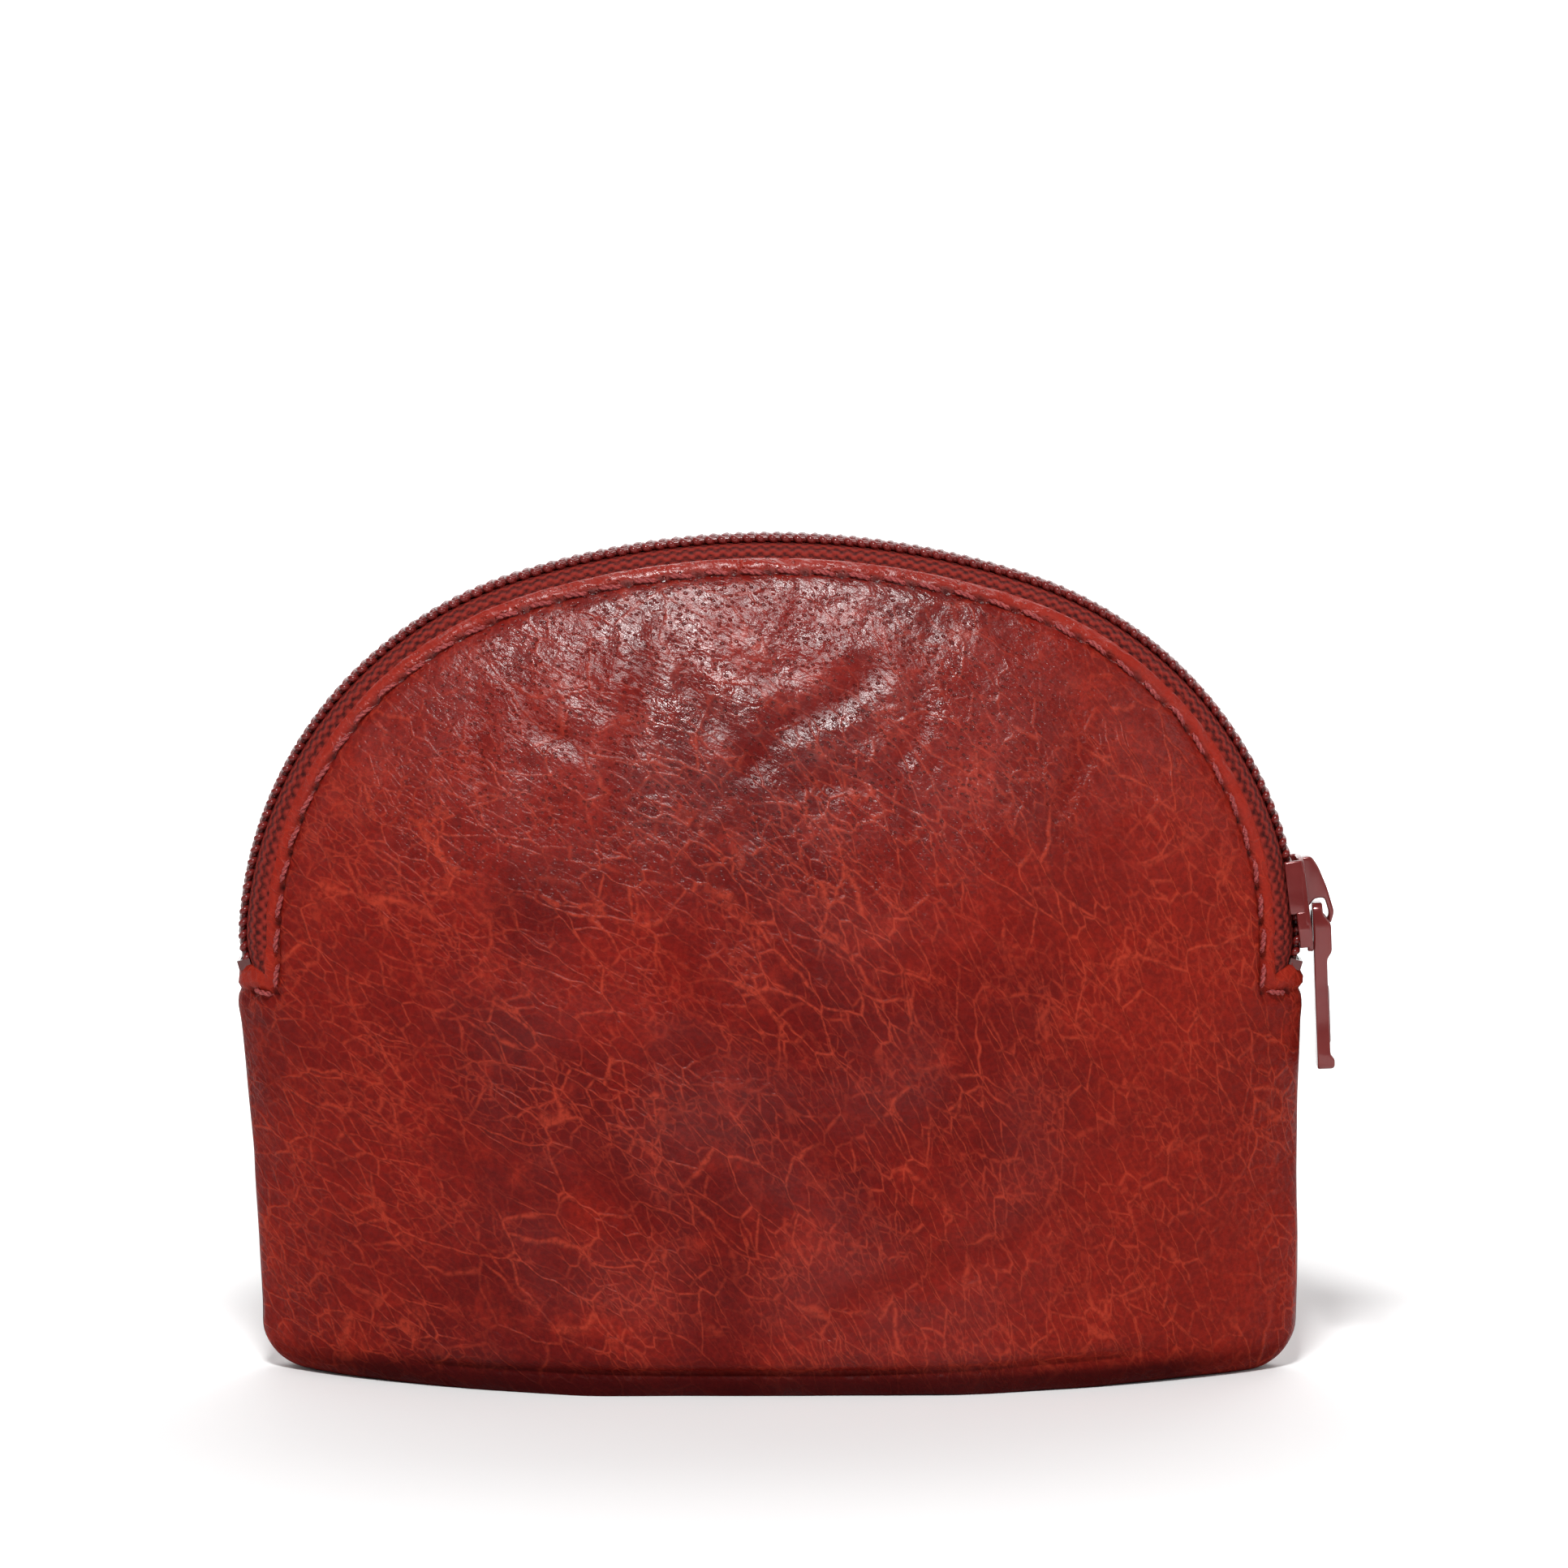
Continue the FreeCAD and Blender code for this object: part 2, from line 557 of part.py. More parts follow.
def pull_tab():
    """Flat tab that hangs from its crossbar: round eye, thick head, thin blade, turned-out lip."""
    body = doc.addObject("PartDesign::Body", "tab")
    side_view = outline_points([(-0.5, -0.3), (0.9, -0.9), (1.3, -1.6), (1.3, -HEAD_LENGTH + 0.4),
                                (0.65, -HEAD_LENGTH), (0.65, -15.3), (1.25, -15.4)])
    side_view += [("1.25", "-Dims.tab_length"), ("-0.25", "-Dims.tab_length"),
                  ("-0.5", "-Dims.tab_length + 0.3")]
    pad(body, "blade", "XZ_Plane", "-Dims.tab_width / 2", "Dims.tab_width", side_view)

    eye_sketch = body.newObject("Sketcher::SketchObject", "eye_sketch")
    eye_sketch.AttachmentSupport = (plane_of(body, "XZ_Plane"), [""])
    eye_sketch.MapMode = "FlatFace"
    eye_sketch.setExpression("AttachmentOffset.Base.z", "-Dims.tab_width / 2")
    eye_circle = eye_sketch.addGeometry(Part.Circle(Vector(0, 0, 0), Vector(0, 0, 1), dim("eye_radius")))
    eye_sketch.addConstraint(Sketcher.Constraint("Coincident", eye_circle, 3, -1, 1))
    drive(eye_sketch, Sketcher.Constraint("Radius", eye_circle, dim("eye_radius")), "Dims.eye_radius")
    eye = body.newObject("PartDesign::Pad", "eye")
    eye.Profile = eye_sketch
    eye.setExpression("Length", "Dims.tab_width")

    pocket(body, "window", "YZ_Plane", "3", "6",
           rectangle("-Dims.tab_window_width / 2", "Dims.tab_window_width / 2",
                     "-Dims.tab_window_length", "1"))

    bar_sketch = body.newObject("Sketcher::SketchObject", "bar_sketch")
    bar_sketch.AttachmentSupport = (plane_of(body, "XZ_Plane"), [""])
    bar_sketch.MapMode = "FlatFace"
    bar_sketch.setExpression("AttachmentOffset.Base.z", "-Dims.tab_width / 2")
    bar_circle = bar_sketch.addGeometry(
        Part.Circle(Vector(0, 0, 0), Vector(0, 0, 1), dim("pivot_bar_radius")))
    bar_sketch.addConstraint(Sketcher.Constraint("Coincident", bar_circle, 3, -1, 1))
    drive(bar_sketch, Sketcher.Constraint("Radius", bar_circle, dim("pivot_bar_radius")),
          "Dims.pivot_bar_radius")
    bar = body.newObject("PartDesign::Pad", "crossbar")
    bar.Profile = bar_sketch
    bar.setExpression("Length", "Dims.tab_width")

    body.Placement = Placement(tab_pivot, Rotation(Vector(0, 1, 0), -dim("tab_tilt")))
    return body


tab = pull_tab()
node(tab, "pull_tab")

# ---- end stops --------------------------------------------------------------------------------

STOP_ANGLE = 16
stop_outside = "Dims.coil_width + 0.1 + Dims.stop_wall"


def end_stop(name, mirror_ends):
    """Clip over the coils: a roof and a leg down each side, in a frame on the tail of the zip line."""
    body = doc.addObject("PartDesign::Body", name)
    roof = "0.05 + Dims.stop_wall"
    inside = "Dims.coil_width + 0.1"
    front_edge = f"-({stop_outside})"
    clip = [(front_edge, "-0.9"), (front_edge, roof)]
    if mirror_ends:
        clip += [(stop_outside, roof), (stop_outside, "-0.9"), (inside, "-0.9"), (inside, "0.05")]
    else:
        clip += [("-Dims.chain_gap / 2", roof), ("-Dims.chain_gap / 2", "0.05")]
    clip += [(f"-({inside})", "0.05"), (f"-({inside})", "-0.9")]
    # Drawn across the chain, with Y along the sketch and the outward direction up it.
    points = [(up, across) for across, up in clip]
    pad(body, f"{name}_clip", "XY_Plane", "-Dims.stop_length / 2", "Dims.stop_length", points)
    return body


tail_turn = math.asin((dim("tail_start") - dim("spring_height")) / dim("side_radius"))
tail_centre = side_centre + Vector(math.cos(tail_turn), 0, math.sin(tail_turn)) * (
    dim("side_radius") - dim("tail_radius"))
stop_angle = math.radians(-STOP_ANGLE)
stop_point = tail_centre + Vector(math.cos(stop_angle), 0, math.sin(stop_angle)) * dim("tail_radius")
stop_place = Placement(stop_point, Rotation(Vector(0, 1, 0), STOP_ANGLE))

front_stop = end_stop("front_clip", False)
front_stop.Placement = stop_place
node_with_mirror(front_stop, "front_top_stop", "back_top_stop")
closed_stop = end_stop("closed_end_clip", True)
closed_stop.Placement = stop_place
closed_end = mirrored("closed_end_clip_left", closed_stop, Vector(1, 0, 0))
node(closed_end, "bottom_stop")

# ---- checks and export ------------------------------------------------------------------------

doc.recompute()
for item in doc.Objects:
    if "Invalid" in item.State or "Error" in item.State:
        raise RuntimeError(f"{item.Name} failed: {item.State}")
for piece in nodes:
    if piece.Shape.isNull() or not piece.Shape.isValid():
        raise RuntimeError(f"{piece.Label} has no valid shape")

os.makedirs("parts", exist_ok=True)
for piece in nodes:
    piece.Shape.exportStep(f"parts/{piece.Label}.step")
    bounds = piece.Shape.BoundBox
    print(f"{piece.Label:22s} {len(piece.Shape.Solids)} solid {piece.Shape.Volume:9.2f} mm3  "
          f"x {bounds.XMin:.2f} {bounds.XMax:.2f}  y {bounds.YMin:.2f} {bounds.YMax:.2f}  "
          f"z {bounds.ZMin:.2f} {bounds.ZMax:.2f}")
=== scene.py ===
import json
import math

import bmesh
import bpy
import numpy as np
from mathutils import Matrix, Vector, noise
from mathutils.kdtree import KDTree


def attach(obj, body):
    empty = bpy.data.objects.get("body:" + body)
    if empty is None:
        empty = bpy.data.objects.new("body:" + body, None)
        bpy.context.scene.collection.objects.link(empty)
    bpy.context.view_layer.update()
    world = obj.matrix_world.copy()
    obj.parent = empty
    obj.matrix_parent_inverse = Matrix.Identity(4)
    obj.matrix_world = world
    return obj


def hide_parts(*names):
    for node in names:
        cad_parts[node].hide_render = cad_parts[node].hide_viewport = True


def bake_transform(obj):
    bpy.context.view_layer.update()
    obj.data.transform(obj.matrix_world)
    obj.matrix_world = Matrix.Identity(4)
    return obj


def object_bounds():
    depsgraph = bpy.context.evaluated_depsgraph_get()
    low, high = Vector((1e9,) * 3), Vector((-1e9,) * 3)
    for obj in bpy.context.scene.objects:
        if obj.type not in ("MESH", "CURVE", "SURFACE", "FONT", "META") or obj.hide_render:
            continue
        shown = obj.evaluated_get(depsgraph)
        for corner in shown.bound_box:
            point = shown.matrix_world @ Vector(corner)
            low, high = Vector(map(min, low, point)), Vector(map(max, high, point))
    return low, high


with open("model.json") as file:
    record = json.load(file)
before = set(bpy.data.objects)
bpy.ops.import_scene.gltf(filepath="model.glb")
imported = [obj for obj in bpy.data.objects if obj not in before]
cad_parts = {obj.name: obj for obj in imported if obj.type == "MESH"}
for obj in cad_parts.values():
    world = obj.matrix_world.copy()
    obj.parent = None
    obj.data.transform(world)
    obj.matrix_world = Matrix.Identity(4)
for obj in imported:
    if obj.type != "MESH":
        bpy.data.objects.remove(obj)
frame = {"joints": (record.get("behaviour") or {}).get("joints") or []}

# Arched leather coin pouch with a coil zip, in metres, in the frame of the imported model: +X to the
# viewer's right, -Y towards the viewer, +Z up.

MM = 0.001
cad_low, cad_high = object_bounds()

# ---- sizes ------------------------------------------------------------------------------------

joints = {joint["name"]: joint for joint in frame["joints"]}
side_centre_x, _, spring_z = joints["slider_travel"]["pos_m"]
ARCH_HALF_WIDTH = 54.7 * MM
SIDE_RADIUS = ARCH_HALF_WIDTH - side_centre_x
# the top arc turns through this angle on each side before the side arc takes over
JOIN = math.radians(18)
TOP_RADIUS = side_centre_x / math.sin(JOIN) + SIDE_RADIUS
TOP_CENTRE_Z = spring_z - (TOP_RADIUS - SIDE_RADIUS) * math.cos(JOIN)
TAIL_RADIUS = 12 * MM
TAIL_START_Z = 46.5 * MM
TAIL_TURN = math.asin((TAIL_START_Z - spring_z) / SIDE_RADIUS)
TAIL_END = -math.radians(38)

LEATHER_HALF_WIDTH = 54.9 * MM
LEATHER_TOP = 86.4 * MM
HALF_DEPTH = 17.4 * MM
CORNER_RADIUS = 5 * MM
RIM_Z = 41.6 * MM
HEM_DEPTH = 4.3 * MM
BULGE_Z = 22 * MM
LEATHER_THICKNESS = 1.1 * MM
TURN_UNDER_START = 0.85
TURN_UNDER_POWER = 2.2
FOLD_RADIUS = 0.8 * MM
# relief of the leather: each height or depth, with the size or half width that it is spread over
BROAD_SWELL, BROAD_SIZE = 0.45 * MM, 22 * MM
SMALL_SWELL, SMALL_SIZE = 0.16 * MM, 8 * MM
HEM_ROLL, HEM_LUMP_SIZE = 0.24 * MM, 1.8 * MM
STITCH_GROOVE, GROOVE_SIZE = 0.22 * MM, 0.35 * MM
HEM_SWELL, HEM_SWELL_INSET, HEM_SWELL_SIZE = 0.18 * MM, 3.4 * MM, 1.2 * MM
SEAM_SINK, SEAM_SIZE = 0.5 * MM, 0.8 * MM
BASE_FOLD_Z, BASE_FOLD_RISE = 3.0 * MM, 0.9 * MM
BASE_FOLD_SINK, BASE_FOLD_SWELL = 0.75 * MM, 0.35 * MM
HOLE_DEPTH, HOLE_HALF_LENGTH, HOLE_HALF_WIDTH = 0.55 * MM, 0.52 * MM, 0.3 * MM
HOLE_SLANT = 0.3
STITCH_PITCH = 3.6 * MM
STITCH_INSET = 1.75 * MM
# a stitch runs between these shares of the way from one needle hole to the next
STITCH_START, STITCH_STOP = 0.16, 0.84
STITCH_SLANT = 0.16 * MM
STITCH_LIFT = 0.2 * MM
THREAD_RADIUS = 0.25 * MM
THREAD_TWIST = 1.5 * MM
COIL_PITCH = 1.3 * MM
COIL_WIRE = 0.37 * MM
COIL_WIDTH = 2.7 * MM
COIL_HEIGHT = 1.15 * MM
COIL_END_GAP = 0.6 * MM
COIL_OVERLAP = 0.28 * MM
POINTS_PER_TURN = 14
FILLER_RADIUS = 0.36 * MM
TAPE_THICKNESS = 0.4 * MM

# Each mouth lip tips about a chord under the arch.
chord_low = Vector(joints["back_lip_tip"]["pos_m"])
chord_low.y = 0


def bend_with_lip(piece, side):
    """Bake the piece's placement into its mesh."""
    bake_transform(piece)


# ---- helpers ----------------------------------------------------------------------------------

def smoothstep(low, high, x):
    t = np.clip((x - low) / (high - low), 0, 1)
    return t * t * (3 - 2 * t)


def unit(vectors):
    return vectors / np.maximum(np.linalg.norm(vectors, axis=-1, keepdims=True), 1e-12)


def new_object(name, data):
    piece = bpy.data.objects.new(name, data)
    bpy.context.scene.collection.objects.link(piece)
    return piece


def mesh_object(name, points, faces):
    mesh = bpy.data.meshes.new(name)
    mesh.from_pydata([tuple(p) for p in points], [], [tuple(int(i) for i in f) for f in faces])
    mesh.update()
    mesh.shade_smooth()
    return new_object(name, mesh)


def apply_modifiers(piece):
    bpy.context.view_layer.update()
    graph = bpy.context.evaluated_depsgraph_get()
    mesh = bpy.data.meshes.new_from_object(piece.evaluated_get(graph))
    piece.modifiers.clear()
    piece.data = mesh
    return piece


def mirror_to_back(front, name):
    """Copy of a front piece on the back of the pouch."""
    mesh = front.data.copy()
    mesh.transform(Matrix.Scale(-1, 4, Vector((0, 1, 0))))
    mesh.flip_normals()
    return new_object(name, mesh)


def thicken(piece, thickness, offset):
    """Give a sheet its thickness: offset -1 puts it all on the inside, 0 half on each side."""
    solid = piece.modifiers.new("thickness", "SOLIDIFY")
    solid.thickness = thickness
    solid.offset = offset
    return apply_modifiers(piece)


def face_forwards(piece):
    """Drop the points that no face uses, and turn the faces of a front piece away from its inside."""
    mesh = bmesh.new()
    mesh.from_mesh(piece.data)
    bmesh.ops.delete(mesh, geom=[v for v in mesh.verts if not v.link_faces], context="VERTS")
    bmesh.ops.recalc_face_normals(mesh, faces=mesh.faces)
    foremost = min(mesh.faces, key=lambda f: f.calc_center_median().y)
    if foremost.normal.y > 0:
        bmesh.ops.reverse_faces(mesh, faces=mesh.faces)
    mesh.to_mesh(piece.data)
    mesh.free()


def keep_on_mesh(piece, **fields):
    """Keep one number for each vertex under each name, where the piece's material can read it."""
    for name, values in fields.items():
        layer = piece.data.attributes.new(name, "FLOAT", "POINT")
        layer.data.foreach_set("value", np.asarray(values, np.float32).reshape(-1))


def search_tree(points):
    """Tree for finding the nearest point, whose number is its place in the flattened array."""
    flat = points.reshape(-1, 3)
    tree = KDTree(len(flat))
    for i, point in enumerate(flat):
        tree.insert(Vector(point), i)
    tree.balance()
    return tree


def frames_along(points):
    """Tangent, normal and binormal at each point of a line, with as little twist as can be."""
    points = np.asarray(points, float)
    tangent = unit(np.gradient(points, axis=0))
    helper = np.array([0, 1, 0]) if abs(tangent[0][1]) < 0.9 else np.array([1, 0, 0])
    normal = np.empty_like(points)
    previous = np.cross(tangent[0], helper)
    for i, direction in enumerate(tangent):
        previous = unit(previous - direction * np.dot(previous, direction))
        normal[i] = previous
    return tangent, normal, np.cross(tangent, normal)


def run_along(points):
    """Distance of each point from the first one along a line, or down every column of a grid."""
    steps = np.linalg.norm(np.diff(points, axis=0), axis=-1)
    return np.concatenate([np.zeros_like(steps[:1]), np.cumsum(steps, axis=0)])


def quad(row, column, following, count):
    """Face between two rows and two columns of a grid whose points are numbered row by row, with count
    points in a row."""
    return (row * count + column, row * count + following,
            (row + 1) * count + following, (row + 1) * count + column)


class Collected:
    """Gathers several small meshes into one object."""

    def __init__(self):
        self.vertices = []
        self.faces = []

    def add(self, vertices, faces):
        base = len(self.vertices)
        self.vertices.extend(map(tuple, vertices))
        self.faces.extend(tuple(base + i for i in face) for face in faces)

    def add_rings(self, rings):
        """Skin a list of rings of points, each with the same count, and close its two ends."""
        rings = np.asarray(rings)
        count, sides = rings.shape[:2]
        faces = [quad(i, j, (j + 1) % sides, sides) for i in range(count - 1) for j in range(sides)]
        faces.append(tuple(range(sides))[::-1])
        faces.append(tuple(range((count - 1) * sides, count * sides)))
        self.add(rings.reshape(-1, 3), faces)

    def add_tube(self, points, radius, sides):
        points = np.asarray(points, float)
        _, normal, binormal = frames_along(points)
        angle = np.linspace(0, 2 * np.pi, sides, endpoint=False)
        radius = np.broadcast_to(radius, len(points))[:, None, None]
        ring = (np.cos(angle)[None, :, None] * normal[:, None, :]
                + np.sin(angle)[None, :, None] * binormal[:, None, :])
        self.add_rings(points[:, None, :] + ring * radius)

    def build(self, name):
        return mesh_object(name, self.vertices, self.faces)


# ---- the zip's arch ---------------------------------------------------------------------------

# The half arch as (centre x, centre z, radius, start angle, end angle), from the crown to the tail.
tail_centre = np.array([side_centre_x, spring_z]) + (SIDE_RADIUS - TAIL_RADIUS) * np.array(
    [math.cos(TAIL_TURN), math.sin(TAIL_TURN)])
ARCH_ARCS = [(0, TOP_CENTRE_Z, TOP_RADIUS, math.pi / 2, math.pi / 2 - JOIN),
             (side_centre_x, spring_z, SIDE_RADIUS, math.pi / 2 - JOIN, TAIL_TURN),
             (tail_centre[0], tail_centre[1], TAIL_RADIUS, TAIL_TURN, TAIL_END)]
ARC_LENGTHS = [radius * (start - end) for _, _, radius, start, end in ARCH_ARCS]
HALF_ARCH = sum(ARC_LENGTHS)


def arch_point(distance):
    """Point on the outside of the coil, and the outward direction there, at a distance along the
    arch from its crown; negative distances are on the left."""
    side = 1 if distance >= 0 else -1
    left = min(abs(distance), HALF_ARCH)
    for arc, length in zip(ARCH_ARCS, ARC_LENGTHS):
        cx, cz, radius, start, _ = arc
        if left <= length or arc == ARCH_ARCS[-1]:
            angle = start - left / radius
            break
        left -= length
    outward = np.array([side * math.cos(angle), 0, math.sin(angle)])
    return np.array([side * cx, 0, cz]) + radius * outward, outward


def arch_line(distances):
    """Points and outward directions at many distances along the arch."""
    pairs = [arch_point(distance) for distance in distances]
    return np.array([p for p, _ in pairs]), np.array([d for _, d in pairs])


# ---- the leather's form -----------------------------------------------------------------------

# Steps of the right half of an outline: base, corner, side up to the rim, rim to spring line, side
# arc, top arc.
STEPS = [60, 12, 60, 3, 110, 70]
RIM_COLUMN = sum(STEPS[:3])
CROWN_COLUMN = sum(STEPS)
COLUMNS = 2 * CROWN_COLUMN
ROWS_BELOW_HEM = 14
ROWS = 150
# Powers of the pouch's outline seen from above, near the base and near the top.
PLAN_POWER_LOW = 1.3
PLAN_POWER_HIGH = 1.55
# The rows stop, and the power stops changing the outline, this near to the middle of the front, where
# the outline has no width.
NEARLY_MIDDLE = 0.996


def plan_width(d, power):
    """Half width of the pouch at a depth fraction d, as a share of its full half width."""
    return math.sqrt(max(1e-9, 1 - d ** power))


def half_outline(d):
    """Right half of the D-shaped outline at a depth fraction d, from the middle of the base round to
    the crown: one x and one z for each step."""
    scale = plan_width(d, PLAN_POWER_LOW)
    width = LEATHER_HALF_WIDTH * scale
    top = BULGE_Z + (LEATHER_TOP - BULGE_Z) * math.sqrt(max(1e-9, 1 - d ** 2))
    turn_under = max(0.0, (d - TURN_UNDER_START) / (1 - TURN_UNDER_START))
    base = BULGE_Z * (1 - math.sqrt(max(0.0, 1 - turn_under ** TURN_UNDER_POWER)))
    side_radius = SIDE_RADIUS * scale
    side_x = width - side_radius
    top_radius = side_x / math.sin(JOIN) + side_radius
    centre_z = top - top_radius
    spring = centre_z + (top_radius - side_radius) * math.cos(JOIN)
    corner = min(CORNER_RADIUS, width * 0.6, (spring - base) * 0.4)
    rim = min(RIM_Z, spring - 0.3 * MM)
    side_turn = math.pi / 2 - JOIN
    quarter = math.pi / 2
    stretches = [
        lambda f: (f * (width - corner), base),
        lambda f: (width - corner + corner * math.sin(f * quarter),
                   base + corner - corner * math.cos(f * quarter)),
        lambda f: (width, base + corner + f * (rim - base - corner)),
        lambda f: (width, rim + f * (spring - rim)),
        lambda f: (side_x + side_radius * math.cos(f * side_turn),
                   spring + side_radius * math.sin(f * side_turn)),
        lambda f: (top_radius * math.sin(JOIN * (1 - f)), centre_z + top_radius * math.cos(JOIN * (1 - f))),
    ]
    points = [stretch(i / steps) for steps, stretch in zip(STEPS, stretches) for i in range(steps)]
    points.append((0, top))
    return np.array(points)


def row_depths():
    """Depth fraction of each row: even steps of a quarter turn whose cosine is the outline's width, with
    one row exactly at the hem."""
    hem = HEM_DEPTH / HALF_DEPTH
    hem_turn = math.asin(hem ** (PLAN_POWER_LOW / 2)) / (math.pi / 2)
    below = np.linspace(0, hem_turn, ROWS_BELOW_HEM + 1)
    above = np.linspace(hem_turn, NEARLY_MIDDLE, ROWS - ROWS_BELOW_HEM + 1)[1:]
    return np.sin(np.concatenate([below, above]) * math.pi / 2) ** (2 / PLAN_POWER_LOW)


def settle_sides(points):
    """The loaded pouch is not quite even: its left side flares at the rim and tucks in below it."""
    x, z = points[..., 0], points[..., 2]
    edge = smoothstep(20 * MM, 54 * MM, np.abs(x))
    left_tuck = 1.3 * MM * smoothstep(39 * MM, 22 * MM, z) + 0.5 * MM * smoothstep(20 * MM, 5 * MM, z)
    right_tuck = 0.2 * MM * smoothstep(36 * MM, 26 * MM, z)
    points[..., 0] += np.where(x < 0, left_tuck, -right_tuck) * edge
    return points


def leather_grid():
    """Points on the outside of the front panel.  Rows go from the seam plane to the middle of the
    front; columns run right from the middle of the base, round the arch, and back on the left."""
    rows = []
    for d in row_depths():
        right = half_outline(d)
        upper = smoothstep(5 * MM, 32 * MM, right[:, 1])
        power = PLAN_POWER_LOW + (PLAN_POWER_HIGH - PLAN_POWER_LOW) * upper
        depth = min(d, NEARLY_MIDDLE)
        right[:, 0] *= np.sqrt((1 - depth ** power) / (1 - depth ** PLAN_POWER_LOW))
        left = right[-2:0:-1] * [-1, 1]
        loop = np.concatenate([right, left])
        rows.append(np.stack([loop[:, 0], np.full(len(loop), -HALF_DEPTH * d), loop[:, 1]], axis=1))
    return settle_sides(np.array(rows))


def grid_normals(points):
    """Outward normals of a grid whose columns close on themselves."""
    along_rows = np.roll(points, -1, axis=1) - np.roll(points, 1, axis=1)
    down_columns = np.gradient(points, axis=0)
    normals = unit(np.cross(along_rows, down_columns))
    flip = np.sign((normals * (points - [0, 0, 40 * MM])).sum(axis=2, keepdims=True))
    return normals * np.where(flip == 0, 1, flip)


def rim_distance_columns(points):
    """Distance of every grid point along its row from the nearer rim column; positive below the rim."""
    step = np.linalg.norm(np.roll(points, -1, axis=1) - points, axis=2)
    run = np.concatenate([np.zeros((len(points), 1)), np.cumsum(step, axis=1)[:, :-1]], axis=1)
    right = run[:, [RIM_COLUMN]] - run
    left_column = COLUMNS - RIM_COLUMN
    left = run - run[:, [left_column]]
    columns = np.arange(COLUMNS)
    return np.where(columns[None, :] <= CROWN_COLUMN, right, left)


grid = leather_grid()
normals = grid_normals(grid)
column_index = np.arange(COLUMNS)
folded_index = np.minimum(column_index, COLUMNS - column_index)
above_rim = folded_index > RIM_COLUMN
run_down = run_along(grid)
from_hem = run_down - run_down[ROWS_BELOW_HEM]
from_rim = rim_distance_columns(grid)
edge_distance = np.where(above_rim[None, :], from_hem,
                         np.where(from_hem <= 0, from_rim,
                                  np.hypot(np.maximum(from_hem, 0), np.maximum(from_rim, 0))))


# ---- stitch line ------------------------------------------------------------------------------

def row_at(column, distance):
    """Point of one column at a distance inwards from the hem."""
    rows = from_hem[ROWS_BELOW_HEM:, column]
    position = np.interp(distance, rows, np.arange(len(rows)))
    low = int(position)
    f = position - low
    low += ROWS_BELOW_HEM
    return grid[low, column] * (1 - f) + grid[low + 1, column] * f, low + f


def stitch_line():
    """Line of the topstitching on the undisturbed surface, from the right-hand seam round the arch to
    the left-hand one, with the surface normal at each point."""
    points, directions = [], []
    last_row = row_at(RIM_COLUMN, STITCH_INSET)[1]

    def rim_part(rows, mirror):
        for row in rows:
            low = int(min(row, ROWS - 1))
            run = from_rim[low, :RIM_COLUMN + 1][::-1]
            column = RIM_COLUMN - np.interp(STITCH_INSET, run, np.arange(len(run)))
            c = int(column)
            f = column - c
            cols = (c, c + 1)
            if mirror:
                cols = ((COLUMNS - c) % COLUMNS, (COLUMNS - c - 1) % COLUMNS)
            points.append(grid[low, cols[0]] * (1 - f) + grid[low, cols[1]] * f)
            directions.append(normals[low, cols[0]])

    rim_part(np.arange(0, last_row), False)
    for column in range(RIM_COLUMN - 1, COLUMNS - RIM_COLUMN + 2):
        point, row = row_at(column, STITCH_INSET)
        points.append(point)
        directions.append(normals[int(row), column])
    rim_part(np.arange(0, last_row)[::-1], True)
    points, directions = np.array(points), np.array(directions)
    keep = np.concatenate([[True], np.linalg.norm(np.diff(points, axis=0), axis=1) > 1e-5])
    return points[keep], directions[keep]


def evenly_spaced(points, others, spacing):
    """Resample a line, and vectors carried along it, at an even spacing."""
    run = run_along(points)
    count = int(round(run[-1] / spacing))
    at = np.linspace(0, run[-1], count + 1)
    place = np.stack([np.interp(at, run, points[:, i]) for i in range(3)], axis=1)
    carried = np.stack([np.interp(at, run, others[:, i]) for i in range(3)], axis=1)
    return place, unit(carried)


stitch_points, stitch_normals = stitch_line()
needle_points, needle_normals = evenly_spaced(stitch_points, stitch_normals, STITCH_PITCH)


# ---- relief of the leather --------------------------------------------------------------------

def noise_field(points, scale, seed):
    """Smooth noise from -1 to 1 at every grid point; scale is the size of its swells."""
    flat = points.reshape(-1, 3) / scale
    values = [noise.noise(Vector(p) + Vector((seed, 2 * seed, -seed))) for p in flat]
    return np.array(values).reshape(points.shape[:-1])


# Creases that the leather keeps from being turned and handled, in the plane of the front panel:
# corners in millimetres from the middle of the base, then depth and width.
CREASES = [
    ([(-26, 71), (-22, 67.5), (-17, 65.5)], 0.35, 1.3),
    ([(-12, 78), (-14, 70), (-16, 62), (-15, 56)], 0.35, 1.4),
    ([(-10, 78), (-8, 72), (-4, 67)], 0.3, 1.2),
    ([(13, 76), (7, 71), (1, 68), (-5, 62)], 0.4, 1.5),
    ([(14.5, 75), (15, 68), (12.5, 64), (14, 58), (14.5, 49), (13.5, 38)], 0.25, 1.1),
    ([(32, 69), (31, 63), (28, 58)], 0.3, 1.3),
    ([(-28, 72), (-29, 64), (-28, 57)], 0.25, 1.2),
    ([(-4, 66), (3, 63), (10, 62)], 0.25, 1.6),
    ([(-20, 28), (-16, 22), (-9, 16)], 0.35, 2.4),
    ([(37, 27), (25, 16), (9, 11), (4, 6)], 0.3, 1.8),
    ([(-14, 33), (-8, 36), (-2, 35)], 0.25, 2.2),
]


